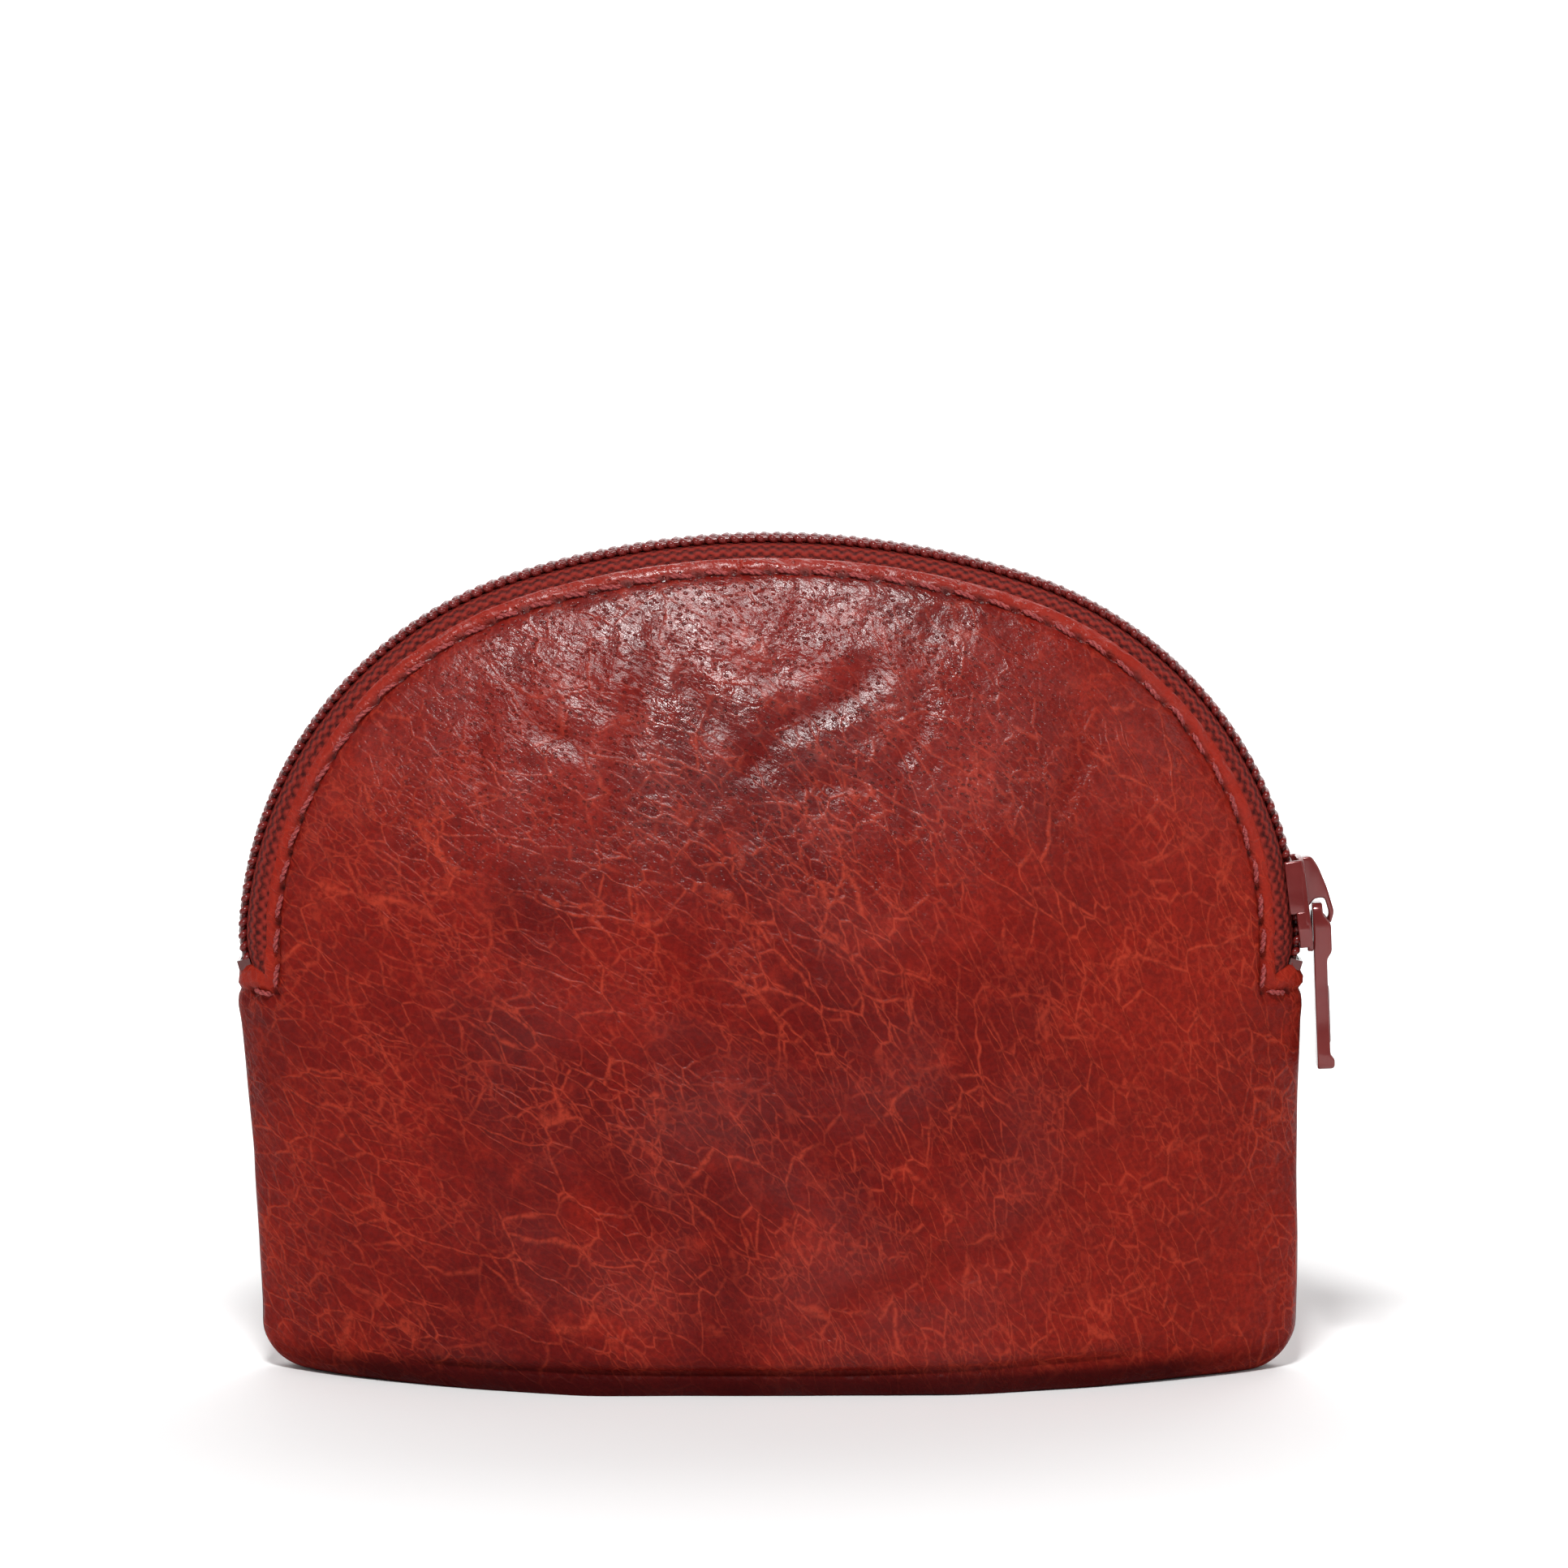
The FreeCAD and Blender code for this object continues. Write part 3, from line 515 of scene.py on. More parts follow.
def crease_depth(x, z):
    """Depth of the creases at points of the front panel; a low ridge stands on both sides of each."""
    depth = np.zeros_like(x)
    for corners, deep, wide in CREASES:
        nearest = np.full_like(x, 1.0)
        reach = np.zeros_like(x)
        count = len(corners) - 1
        for i, (start, end) in enumerate(zip(corners, corners[1:])):
            ax, az = start[0] * MM, start[1] * MM
            dx, dz = end[0] * MM - ax, end[1] * MM - az
            f = np.clip(((x - ax) * dx + (z - az) * dz) / (dx * dx + dz * dz), 0, 1)
            distance = np.hypot(x - ax - f * dx, z - az - f * dz)
            closer = distance < nearest
            nearest = np.where(closer, distance, nearest)
            reach = np.where(closer, (i + f) / count, reach)
        across = nearest / (wide * MM)
        taper = np.sin(np.clip(reach, 0.04, 0.96) * math.pi) ** 0.6
        groove = np.exp(-across ** 2) - 0.45 * np.exp(-(across - 1.9) ** 2 / 0.8)
        depth += deep * MM * taper * groove
    return depth


def needle_holes():
    """From 0 to 1 round each needle hole at every grid point; the pulled thread leaves them slanted."""
    strength = np.zeros(grid.shape[:2])
    along = unit(np.gradient(needle_points, axis=0))
    across = np.cross(along, needle_normals)
    tree = search_tree(needle_points)
    for row, column in np.argwhere((edge_distance > -0.5 * MM) & (edge_distance < 4.5 * MM)):
        _, i, distance = tree.find(Vector(grid[row, column]))
        if distance < 2 * MM:
            offset = grid[row, column] - needle_points[i]
            forward, sideways = np.dot(offset, along[i]), np.dot(offset, across[i])
            slanted = sideways - HOLE_SLANT * forward
            strength[row, column] = math.exp(-(forward / HOLE_HALF_LENGTH) ** 2
                                             - (slanted / HOLE_HALF_WIDTH) ** 2)
    return strength


holes = needle_holes()


def leather_relief():
    """Height that the surface stands above its smooth form at every grid point."""
    x, y, z = grid[..., 0], grid[..., 1], grid[..., 2]
    face = smoothstep(0.35, 0.75, -y / HALF_DEPTH)
    relief = BROAD_SWELL * noise_field(grid, BROAD_SIZE, 3.1) * smoothstep(2 * MM, 9 * MM, edge_distance)
    relief += SMALL_SWELL * noise_field(grid, SMALL_SIZE, 9.7) * smoothstep(1 * MM, 6 * MM, edge_distance)
    relief -= crease_depth(x, z) * face
    # the turned hem is a low roll; the thread pulls a groove below it, and the leather swells after
    across = edge_distance / STITCH_INSET
    roll = np.sqrt(np.clip(1 - (2 * across - 1) ** 2, 0, 1))
    lumps = 1 + 1.3 * noise_field(grid, HEM_LUMP_SIZE, 5.3)
    relief += HEM_ROLL * roll * lumps * (edge_distance >= 0)
    relief -= STITCH_GROOVE * np.exp(-((edge_distance - STITCH_INSET) / GROOVE_SIZE) ** 2)
    relief += HEM_SWELL * np.exp(-((edge_distance - HEM_SWELL_INSET) / HEM_SWELL_SIZE) ** 2)
    relief -= HOLE_DEPTH * holes
    # seam lines sink between the panels
    relief -= SEAM_SINK * np.exp(-(y / SEAM_SIZE) ** 2)
    # the front panel folds over the base along a crease, and swells above it
    fold_z = BASE_FOLD_Z + BASE_FOLD_RISE * smoothstep(10 * MM, 45 * MM, x)
    ends = smoothstep(-46 * MM, -30 * MM, x) * smoothstep(54 * MM, 44 * MM, x)
    front = smoothstep(0.45, 0.7, -y / HALF_DEPTH) * ends
    relief -= BASE_FOLD_SINK * np.exp(-((z - fold_z + 0.5 * MM) / (0.55 * MM)) ** 2) * front
    relief += BASE_FOLD_SWELL * np.exp(-((z - fold_z - 1.6 * MM) / (1.6 * MM)) ** 2) * front
    return relief


surface = grid + normals * leather_relief()[..., None]
surface_normals = grid_normals(surface)


def leather_faces():
    """Faces of the panel's grid, without the stretch that the mouth leaves open."""
    faces = []
    for row in range(ROWS):
        for column in range(COLUMNS):
            following = (column + 1) % COLUMNS
            open_here = above_rim[column] or above_rim[following]
            if row >= ROWS_BELOW_HEM or not open_here:
                faces.append(quad(row, column, following, COLUMNS))
    return faces


def mouth_edge():
    """Grid places along the mouth edge, right seam to left seam, as (row, column, row step, column
    step); the steps lead from the edge into the panel."""
    left = COLUMNS - RIM_COLUMN
    places = [(row, RIM_COLUMN, 0, -1) for row in range(ROWS_BELOW_HEM)]
    places.append((ROWS_BELOW_HEM, RIM_COLUMN, 1, -1))
    places += [(ROWS_BELOW_HEM, column, 1, 0) for column in range(RIM_COLUMN + 1, left)]
    places.append((ROWS_BELOW_HEM, left, 1, 1))
    places += [(row, left, 0, 1) for row in range(ROWS_BELOW_HEM - 1, -1, -1)]
    return places


def turned_ring(places, out, sink):
    """Points along the mouth edge, moved out past it and sunk below the surface."""
    ring = []
    for row, column, row_step, column_step in places:
        away = unit(grid[row, column] - grid[row + row_step, column + column_step])
        ring.append(surface[row, column] + away * out - normals[row, column] * sink)
    return ring


def tucked_ring(places, steps):
    """Points under the panel, some grid steps in from the mouth edge."""
    ring = []
    for row, column, row_step, column_step in places:
        across = (row + row_step * steps * 2, column + column_step * steps)
        ring.append(grid[across] - normals[across] * 2 * FOLD_RADIUS)
    return ring


def front_leather():
    """The front panel with its turned edge: the sheet rolls over at the mouth and runs back inside."""
    vertices = [tuple(p) for p in surface.reshape(-1, 3)]
    faces = leather_faces()
    middle = len(vertices)
    vertices.append(tuple(surface[ROWS].mean(axis=0)))
    faces += [(ROWS * COLUMNS + c, ROWS * COLUMNS + (c + 1) % COLUMNS, middle) for c in range(COLUMNS)]
    places = mouth_edge()
    turns = np.linspace(0, math.pi, 9)[1:]
    rings = [turned_ring(places, FOLD_RADIUS * math.sin(turn), FOLD_RADIUS * (1 - math.cos(turn)))
             for turn in turns]
    rings += [tucked_ring(places, steps) for steps in (2, 4, 6, 8)]
    previous = [row * COLUMNS + column for row, column, _, _ in places]
    for ring in rings:
        base = len(vertices)
        vertices += [tuple(p) for p in ring]
        following = list(range(base, base + len(ring)))
        faces += [(previous[i], following[i], following[i + 1], previous[i + 1])
                  for i in range(len(ring) - 1)]
        previous = following
    panel = mesh_object("leather_front", vertices, faces)
    face_forwards(panel)
    panel.data.shade_smooth()
    return panel


# ---- materials --------------------------------------------------------------------------------

class Nodes:
    """Small helper for writing a node material in a few lines."""

    def __init__(self, name):
        self.material = bpy.data.materials.new(name)
        self.material.use_nodes = True
        self.tree = self.material.node_tree
        self.shader = self.tree.nodes["Principled BSDF"]
        self.place = self.add("ShaderNodeNewGeometry").outputs["Position"]

    def add(self, kind, **settings):
        node = self.tree.nodes.new(kind)
        for key, setting in settings.items():
            setattr(node, key, setting)
        return node

    def link(self, source, target):
        if isinstance(source, (int, float, tuple)):
            target.default_value = source
        else:
            self.tree.links.new(source, target)

    def stretch(self, scale, turn=(0, 0, 0), warp=None, vector=None):
        """Position scaled along turned axes; warp bends it by a colour noise."""
        mapping = self.add("ShaderNodeMapping", vector_type="TEXTURE")
        mapping.inputs["Rotation"].default_value = [math.radians(a) for a in turn]
        mapping.inputs["Scale"].default_value = scale
        source = vector or self.place
        if warp:
            amount, size = warp
            field = self.noise(size, 2, output="Color")
            shift = self.add("ShaderNodeVectorMath", operation="MULTIPLY_ADD")
            self.link(field, shift.inputs[0])
            shift.inputs[1].default_value = (amount,) * 3
            self.link(source, shift.inputs[2])
            source = shift.outputs[0]
        self.link(source, mapping.inputs["Vector"])
        return mapping.outputs[0]

    def noise(self, size, detail=3, rough=0.5, vector=None, output="Fac"):
        """Noise whose swells are about size metres; size 1 for a vector that is already scaled."""
        node = self.add("ShaderNodeTexNoise")
        node.inputs["Scale"].default_value = 1 / size
        node.inputs["Detail"].default_value = detail
        node.inputs["Roughness"].default_value = rough
        self.link(vector or self.place, node.inputs["Vector"])
        return node.outputs[output]

    def cells(self, size, vector, feature="F1"):
        """Distance to the nearest cell's centre, or to its edge, in cells of about size metres."""
        node = self.add("ShaderNodeTexVoronoi", feature=feature)
        node.inputs["Scale"].default_value = 1 / size
        self.link(vector, node.inputs["Vector"])
        return node.outputs["Distance"]

    def ramp(self, value, low, high, out_low=0.0, out_high=1.0, smooth=True):
        """The value carried from the range low to high to the range out_low to out_high, and clamped."""
        node = self.add("ShaderNodeMapRange", interpolation_type="SMOOTHSTEP" if smooth else "LINEAR")
        limits = {"From Min": low, "From Max": high, "To Min": out_low, "To Max": out_high}
        for name, number in limits.items():
            node.inputs[name].default_value = number
        self.link(value, node.inputs["Value"])
        return node.outputs["Result"]

    def math(self, operation, a, b=0.0, c=None):
        node = self.add("ShaderNodeMath", operation=operation)
        self.link(a, node.inputs[0])
        self.link(b, node.inputs[1])
        if c is not None:
            self.link(c, node.inputs[2])
        return node.outputs[0]

    def times(self, a, b):
        return self.math("MULTIPLY", a, b)

    def mix(self, factor, a, b):
        """Colour a where the factor is 0, and colour b where it is 1."""
        node = self.add("ShaderNodeMix", data_type="RGBA")
        self.link(factor, node.inputs[0])
        self.link(a, node.inputs[6])
        self.link(b, node.inputs[7])
        return node.outputs[2]

    def attribute(self, name):
        return self.add("ShaderNodeAttribute", attribute_name=name).outputs["Fac"]

    def axis(self, index):
        split = self.add("ShaderNodeSeparateXYZ")
        self.link(self.place, split.inputs[0])
        return split.outputs[index]

    def bump(self, height, distance, strength=1.0, under=None):
        node = self.add("ShaderNodeBump")
        node.inputs["Strength"].default_value = strength
        node.inputs["Distance"].default_value = distance
        self.link(height, node.inputs["Height"])
        if under:
            self.link(under, node.inputs["Normal"])
        return node.outputs[0]

    def finish(self, colour, roughness, normal=None, **sockets):
        """Join the results to the shader, and set its other sockets by their names."""
        self.link(colour, self.shader.inputs["Base Color"])
        self.link(roughness, self.shader.inputs["Roughness"])
        if normal is not None:
            self.link(normal, self.shader.inputs["Normal"])
        for name, setting in sockets.items():
            self.shader.inputs[name.replace("_", " ").title().replace("Ior", "IOR")].default_value = setting
        return self.material


def srgb(red, green, blue):
    """Linear colour of a colour given in 0 to 255 display values."""
    def linear(value):
        value /= 255
        return value / 12.92 if value <= 0.04045 else ((value + 0.055) / 1.055) ** 2.4
    return (linear(red), linear(green), linear(blue), 1)


LEATHER_MID = srgb(124, 25, 18)
LEATHER_DARK = srgb(96, 18, 16)
LEATHER_LIGHT = srgb(152, 38, 24)
LEATHER_VEIN = srgb(186, 66, 44)
LEATHER_PORE = srgb(66, 13, 13)
LEATHER_HEM = srgb(160, 42, 28)
# dark for the grain's fine speckle, and for painted shade in the needle holes and on the underside band
LEATHER_SPECKLE_AND_SHADE = srgb(52, 10, 11)
PORE_SPACING = 0.62 * MM
# Height that the leather's bump stands for at full strength, and that of its softer swells.
GRAIN_HEIGHT = 0.17 * MM
SWELL_HEIGHT = 0.8 * MM


def crease_net(n, place, scale, warp, width):
    """Fine pale ridges where waxed leather has been bent: the edges of stretched, bent cells."""
    edges = n.cells(1.0, n.stretch(scale, (0, 0, 0), warp, place), "DISTANCE_TO_EDGE")
    return n.ramp(edges, 0.0, width, 1.0, 0.0)


def waxed_leather(name, shift=0.0):
    """Waxed red leather: cloudy colour, nets of pale creases, pores darkened with painted shade and a
    polished upper middle.
    The shift moves the pattern, so that the back isn't the front's mirror image."""
    n = Nodes(name)
    x, z = n.axis(0), n.axis(2)
    if shift:
        moved = n.add("ShaderNodeVectorMath", operation="ADD")
        n.link(n.place, moved.inputs[0])
        moved.inputs[1].default_value = (shift, 0, shift / 2)
        n.place = moved.outputs[0]
    cloudy = n.noise(22 * MM, 3, 0.5)
    mottled = n.noise(5 * MM, 5, 0.62)
    speckled = n.noise(0.55 * MM, 3, 0.6)
    colour = n.mix(n.ramp(cloudy, 0.38, 0.62, 0.1, 1), LEATHER_DARK, LEATHER_MID)
    colour = n.mix(n.ramp(mottled, 0.5, 0.72, 0, 0.55), colour, LEATHER_LIGHT)
    colour = n.mix(n.ramp(mottled, 0.3, 0.46, 0.45, 0), colour, LEATHER_DARK)
    colour = n.mix(n.ramp(x, 5 * MM, 50 * MM, 0, 0.35), colour, LEATHER_LIGHT)
    colour = n.mix(n.ramp(speckled, 0.38, 0.62, 0.3, 0), colour, LEATHER_SPECKLE_AND_SHADE)
    # the pale creases run down to the right on the left half, more steeply on the right half, and show
    # least near the top
    turned = n.add("ShaderNodeVectorRotate", rotation_type="Y_AXIS")
    n.link(n.place, turned.inputs["Vector"])
    turned.inputs["Center"].default_value = (0, 0, 0.045)
    n.link(n.ramp(x, -35 * MM, 40 * MM, math.radians(-36), math.radians(-62)), turned.inputs["Angle"])
    place = turned.outputs[0]
    wide = crease_net(n, place, (10 * MM, 7 * MM, 3.6 * MM), (2.2 * MM, 5 * MM), 0.035)
    close = crease_net(n, place, (4.6 * MM, 3.5 * MM, 1.7 * MM), (1.0 * MM, 2.5 * MM), 0.065)
    hairs = crease_net(n, place, (1.9 * MM, 2 * MM, 1.0 * MM), (0.7 * MM, 1.5 * MM), 0.11)
    wide = n.times(wide, n.ramp(n.noise(12 * MM, 3, 0.6), 0.36, 0.58, 0.25, 1))
    close = n.times(close, n.ramp(n.noise(9 * MM, 3, 0.6), 0.38, 0.6, 0.2, 0.9))
    hairs = n.times(hairs, n.ramp(n.noise(8 * MM, 4, 0.62), 0.42, 0.64, 0.05, 0.6))
    lines = n.math("MAXIMUM", n.math("MAXIMUM", wide, close), hairs)
    lines = n.times(lines, n.ramp(z, 60 * MM, 74 * MM, 1, 0.55))
    broken = n.times(lines, n.ramp(speckled, 0.3, 0.6, 0.35, 1))
    colour = n.mix(n.times(broken, 0.58), colour, LEATHER_VEIN)
    # pores show most on the polished upper front, where the key light's glints fall; their dark colour is
    # painted shade in the pits
    polished = n.times(n.ramp(z, 48 * MM, 62 * MM, 0.12, 1),
                       n.ramp(n.math("ABSOLUTE", n.math("ADD", x, 4 * MM)), 22 * MM, 42 * MM, 1, 0.15))
    pore_place = n.stretch((1.3, 1, 0.85), (0, 20, 0), (0.15 * MM, 1.2 * MM))
    pores = n.ramp(n.cells(PORE_SPACING, pore_place), 0.1, 0.34, 1.0, 0.0)
    pores = n.times(pores, polished)
    colour = n.mix(n.times(pores, 0.5), colour, LEATHER_PORE)
    # the rubbed hem is paler; painted shade darkens the creases, the needle holes and the underside band
    # along the lower edge between the corners
    colour = n.mix(n.times(n.attribute("hem"), 0.6), colour, LEATHER_HEM)
    colour = n.mix(n.times(n.attribute("crease"), 0.4), colour, LEATHER_DARK)
    # painted shade in the needle holes
    colour = n.mix(n.times(n.attribute("hole"), 0.95), colour, LEATHER_SPECKLE_AND_SHADE)
    # painted shade on the underside band below the base fold, between the corners
    between = n.ramp(n.math("ABSOLUTE", x), 40 * MM, 50 * MM, 0.9, 0.35)
    under = n.times(n.ramp(z, 1.6 * MM, 3.8 * MM, 1, 0), between)
    colour = n.mix(under, colour, LEATHER_SPECKLE_AND_SHADE)
    # handling has polished the upper middle most, and patches down the middle a little
    upper = n.times(n.ramp(z, 44 * MM, 70 * MM),
                    n.ramp(n.math("ABSOLUTE", n.math("ADD", x, 4 * MM)), 14 * MM, 40 * MM, 1, 0.35))
    upper = n.times(upper, n.ramp(n.noise(7 * MM, 3, 0.6), 0.36, 0.6, 0.45, 1))
    middle = n.times(n.ramp(n.noise(15 * MM, 2, 0.5), 0.35, 0.75, 0, 0.3),
                     n.ramp(n.math("ABSOLUTE", x), 12 * MM, 42 * MM, 1, 0))
    gloss = n.math("MAXIMUM", upper, middle)
    # the deepest creases and the lower edge are dull
    dull = n.times(n.attribute("crease"), 0.8)
    gloss = n.times(gloss, n.math("SUBTRACT", 1.0, dull))
    shine = n.times(n.ramp(gloss, 0, 1, 0.06, 0.6, smooth=False),
                    n.ramp(z, 1.6 * MM, 5 * MM, 0.2, 1))
    n.link(shine, n.shader.inputs["Specular IOR Level"])
    folds = n.noise(1.3 * MM, 4, 0.62, n.stretch((1.5, 1, 0.7), (0, 28, 0)))
    height = n.math("MULTIPLY_ADD", lines, 0.35, n.times(pores, -0.75))
    height = n.math("MULTIPLY_ADD", folds, 1.2, height)
    height = n.math("MULTIPLY_ADD", speckled, 0.3, height)
    normal = n.bump(height, GRAIN_HEIGHT)
    soft = n.bump(n.noise(4.5 * MM, 2, 0.5), SWELL_HEIGHT, 0.8, normal)
    rough = n.math("ADD", n.ramp(n.noise(5 * MM, 4, 0.6), 0.35, 0.65, 0.32, 0.42),
                   n.times(lines, 0.06))
    rough = n.math("MULTIPLY_ADD", gloss, -0.09, rough)
    return n.finish(colour, rough, soft)


def thread_material():
    n = Nodes("sewing_thread")
    hairs = n.noise(1.0, 3, 0.6, n.stretch((0.5 * MM, 0.12 * MM, 0.12 * MM), (0, 20, 0)))
    colour = n.mix(n.ramp(hairs, 0.35, 0.7), srgb(118, 34, 36), srgb(184, 82, 78))
    normal = n.bump(hairs, 0.06 * MM)
    return n.finish(colour, n.ramp(hairs, 0, 1, 0.5, 0.7), normal, specular_ior_level=0.4)


def coil_material():
    n = Nodes("nylon_coil")
    drift = n.noise(4 * MM, 3)
    colour = n.mix(drift, srgb(92, 20, 20), srgb(128, 36, 32))
    marks = n.noise(0.25 * MM, 3)
    return n.finish(colour, n.ramp(marks, 0.3, 0.7, 0.2, 0.32), n.bump(marks, 0.01 * MM),
                    subsurface_weight=0.05, subsurface_scale=0.6 * MM, specular_ior_level=0.45)


def weave(n, warp_size, weft_size):
    """Plain weave of a zip tape or lining, from two crossing waves laid over the coordinates that are
    kept on the mesh as along and across."""
    along = n.times(n.attribute("along"), 2 * math.pi / warp_size)
    across = n.times(n.attribute("across"), 2 * math.pi / weft_size)
    over = n.times(n.math("SINE", along), n.math("SINE", across))
    rib = n.math("ABSOLUTE", n.math("SINE", n.times(across, 0.5)))
    return n.math("MULTIPLY_ADD", over, 0.5, n.times(rib, 0.5))


def tape_material():
    n = Nodes("zip_tape")
    threads = weave(n, 1.3 * MM, 1.3 * MM)
    fuzz = n.noise(0.3 * MM, 3)
    colour = n.mix(n.ramp(threads, -0.2, 0.8), srgb(58, 12, 12), srgb(136, 38, 30))
    colour = n.mix(n.ramp(fuzz, 0.4, 0.7, 0, 0.4), colour, srgb(152, 48, 38))
    normal = n.bump(n.math("MULTIPLY_ADD", fuzz, 0.4, threads), 0.2 * MM)
    return n.finish(colour, 0.85, normal, specular_ior_level=0.15)


def lining_material():
    n = Nodes("lining_cloth")
    threads = weave(n, 0.6 * MM, 0.6 * MM)
    fuzz = n.noise(0.4 * MM, 3)
    colour = n.mix(n.ramp(threads, -0.3, 0.9), srgb(64, 14, 16), srgb(104, 28, 28))
    colour = n.mix(n.ramp(n.noise(14 * MM, 3), 0.4, 0.7, 0, 0.3), colour, srgb(52, 12, 14))
    normal = n.bump(n.math("MULTIPLY_ADD", fuzz, 0.5, threads), 0.08 * MM)
    return n.finish(colour, 0.9, normal, specular_ior_level=0.15)


def enamel_material(name, dark, light):
    n = Nodes(name)
    drift = n.noise(3 * MM, 3)
    orange_peel = n.noise(0.5 * MM, 2)
    colour = n.mix(drift, dark, light)
    return n.finish(colour, n.ramp(drift, 0.3, 0.7, 0.16, 0.26),
                    n.bump(orange_peel, 0.012 * MM), metallic=0.2, coat_weight=0.45, coat_roughness=0.07)


def steel_material():
    n = Nodes("spring_steel")
    brushed = n.noise(1.0, 3, 0.6, n.stretch((0.08 * MM, 0.08 * MM, 1.2 * MM)))
    colour = n.mix(brushed, srgb(150, 148, 146), srgb(186, 184, 182))
    return n.finish(colour, n.ramp(brushed, 0.3, 0.7, 0.25, 0.4), n.bump(brushed, 0.01 * MM), metallic=1.0)


def floor_material():
    """Pale paper with a painted glow: it emits more and more light behind the object, standing in for a lit
    studio sweep.
    """
    n = Nodes("floor")
    cloudy = n.noise(0.4, 3)
    colour = n.mix(cloudy, srgb(240, 240, 240), srgb(246, 246, 246))
    # painted light: the paper glows, from nothing near the object to bright behind it
    n.link(n.ramp(n.axis(1), 0.02, 0.4, 0.0, 0.85), n.shader.inputs["Emission Strength"])
    n.shader.inputs["Emission Color"].default_value = (1, 1, 1, 1)
    return n.finish(colour, 0.8)


# ---- leather pieces ---------------------------------------------------------------------------

def paint_leather(piece):
    """Keep on the mesh how far each point belongs to the hem, a needle hole or a crease.  The turned-in
    edge takes its hem value from the nearest point outside, and has no holes or creases."""
    tree = search_tree(surface)
    hem = smoothstep(STITCH_INSET + 0.5 * MM, STITCH_INSET - 0.6 * MM, edge_distance).reshape(-1)
    crease = np.clip(crease_depth(grid[..., 0], grid[..., 2]) / (0.4 * MM), 0, 1).reshape(-1)
    found, away = [], []
    for vertex in piece.data.vertices:
        _, i, distance = tree.find(vertex.co)
        found.append(i)
        away.append(distance)
    outside = np.array(away) < 0.1 * MM
    keep_on_mesh(piece, hem=hem[found], hole=holes.reshape(-1)[found] * outside,
                 crease=crease[found] * outside)


def dress(piece, material, slot):
    piece.data.materials.clear()
    piece.data.materials.append(material)
    return piece


leather_front = front_leather()
paint_leather(leather_front)
leather_back = mirror_to_back(leather_front, "leather_back")
dress(leather_front, waxed_leather("waxed_leather_front"), "waxed_leather")
dress(leather_back, waxed_leather("waxed_leather_back", 63 * MM), "waxed_leather")
bend_with_lip(leather_front, "front")
bend_with_lip(leather_back, "back")
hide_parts("front_panel", "front_lip")
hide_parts("back_panel", "back_lip")


# ---- stitching --------------------------------------------------------------------------------

def twisted_stitch(collected, start, end, normal):
    """One stitch: two plies of thread wound round each other, diving into the leather at both ends."""
    along = end - start
    length = np.linalg.norm(along)
    direction = along / length
    side = unit(np.cross(direction, normal))
    steps = np.linspace(0, 1, 15)
    rise = THREAD_RADIUS * (1.5 * np.sin(steps * math.pi) ** 0.5 - 0.3)
    middle = start + np.outer(steps, along) + np.outer(rise, normal)
    for ply in (0, 1):
        turn = steps * length / THREAD_TWIST * 2 * math.pi + ply * math.pi
        offset = (np.outer(np.cos(turn), normal) + np.outer(np.sin(turn), side)) * THREAD_RADIUS * 0.5
        radius = THREAD_RADIUS * 0.62 * np.clip(np.sin(steps * math.pi) * 2.2, 0.35, 1)
        collected.add_tube(middle + offset, radius, 7)


def stitching():
    """Topstitching round one side of the mouth, on the finished surface."""
    tree = search_tree(surface)
    flat, flat_normals = surface.reshape(-1, 3), surface_normals.reshape(-1, 3)
    collected = Collected()
    for start, end in zip(needle_points, needle_points[1:]):
        at_seam = min(-start[1], -end[1]) < 0.5 * MM
        if at_seam:
            continue
        direction = end - start
        middle = (start + end) / 2
        nearest = tree.find(Vector(middle))[1]
        normal = flat_normals[nearest]
        lift = np.dot(flat[nearest] - middle, normal) + STITCH_LIFT
        side = unit(np.cross(direction, normal))
        first = start + direction * STITCH_START + normal * lift - side * STITCH_SLANT
        last = start + direction * STITCH_STOP + normal * lift + side * STITCH_SLANT
        twisted_stitch(collected, first, last, normal)
    return collected.build("stitching_front")


thread = thread_material()
stitching_front = dress(stitching(), thread, "sewing_thread")
stitching_back = dress(mirror_to_back(stitching_front, "stitching_back"), thread, "sewing_thread")
for piece, side in ((stitching_front, "front"), (stitching_back, "back")):
    bend_with_lip(piece, side)
    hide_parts(f"{side}_stitching", f"{side}_lip_stitching")


# ---- zip chain --------------------------------------------------------------------------------

def coil(side):
    """One side of the zip: a nylon monofilament wound into a flattened spiral along the arch, with its
    loops crossing the middle to lock into the other side's."""
    reach = HALF_ARCH - COIL_END_GAP
    turns = int(2 * reach / COIL_PITCH)
    steps = np.arange(turns * POINTS_PER_TURN + 1)
    distance = -reach + steps * COIL_PITCH / POINTS_PER_TURN
    phase = steps / POINTS_PER_TURN * 2 * math.pi + (math.pi if side > 0 else 0)
    base, outward = arch_line(distance)
    half_width = COIL_WIDTH / 4 + COIL_OVERLAP
    centre_y = COIL_WIDTH / 4 - 0.02 * MM
    swing = np.sign(np.cos(phase)) * np.abs(np.cos(phase)) ** 0.8
    lift = np.sign(np.sin(phase)) * np.abs(np.sin(phase)) ** 0.75
    height = (COIL_HEIGHT / 2 - COIL_WIRE) * lift
    y = side * (centre_y - half_width * swing)
    points = base + outward * (height - COIL_HEIGHT / 2)[:, None]
    points[:, 1] = y
    collected = Collected()
    collected.add_tube(points, COIL_WIRE, 7)
    # the filler cord that runs inside the spiral
    step = 0.8 * MM
    cord, cord_out = arch_line(np.arange(-reach, reach, step))
    cord = cord - cord_out * COIL_HEIGHT / 2
    cord[:, 1] = side * (centre_y + 0.25 * MM)
    collected.add_tube(cord, FILLER_RADIUS, 6)
    return collected.build("coil_front" if side < 0 else "coil_back")


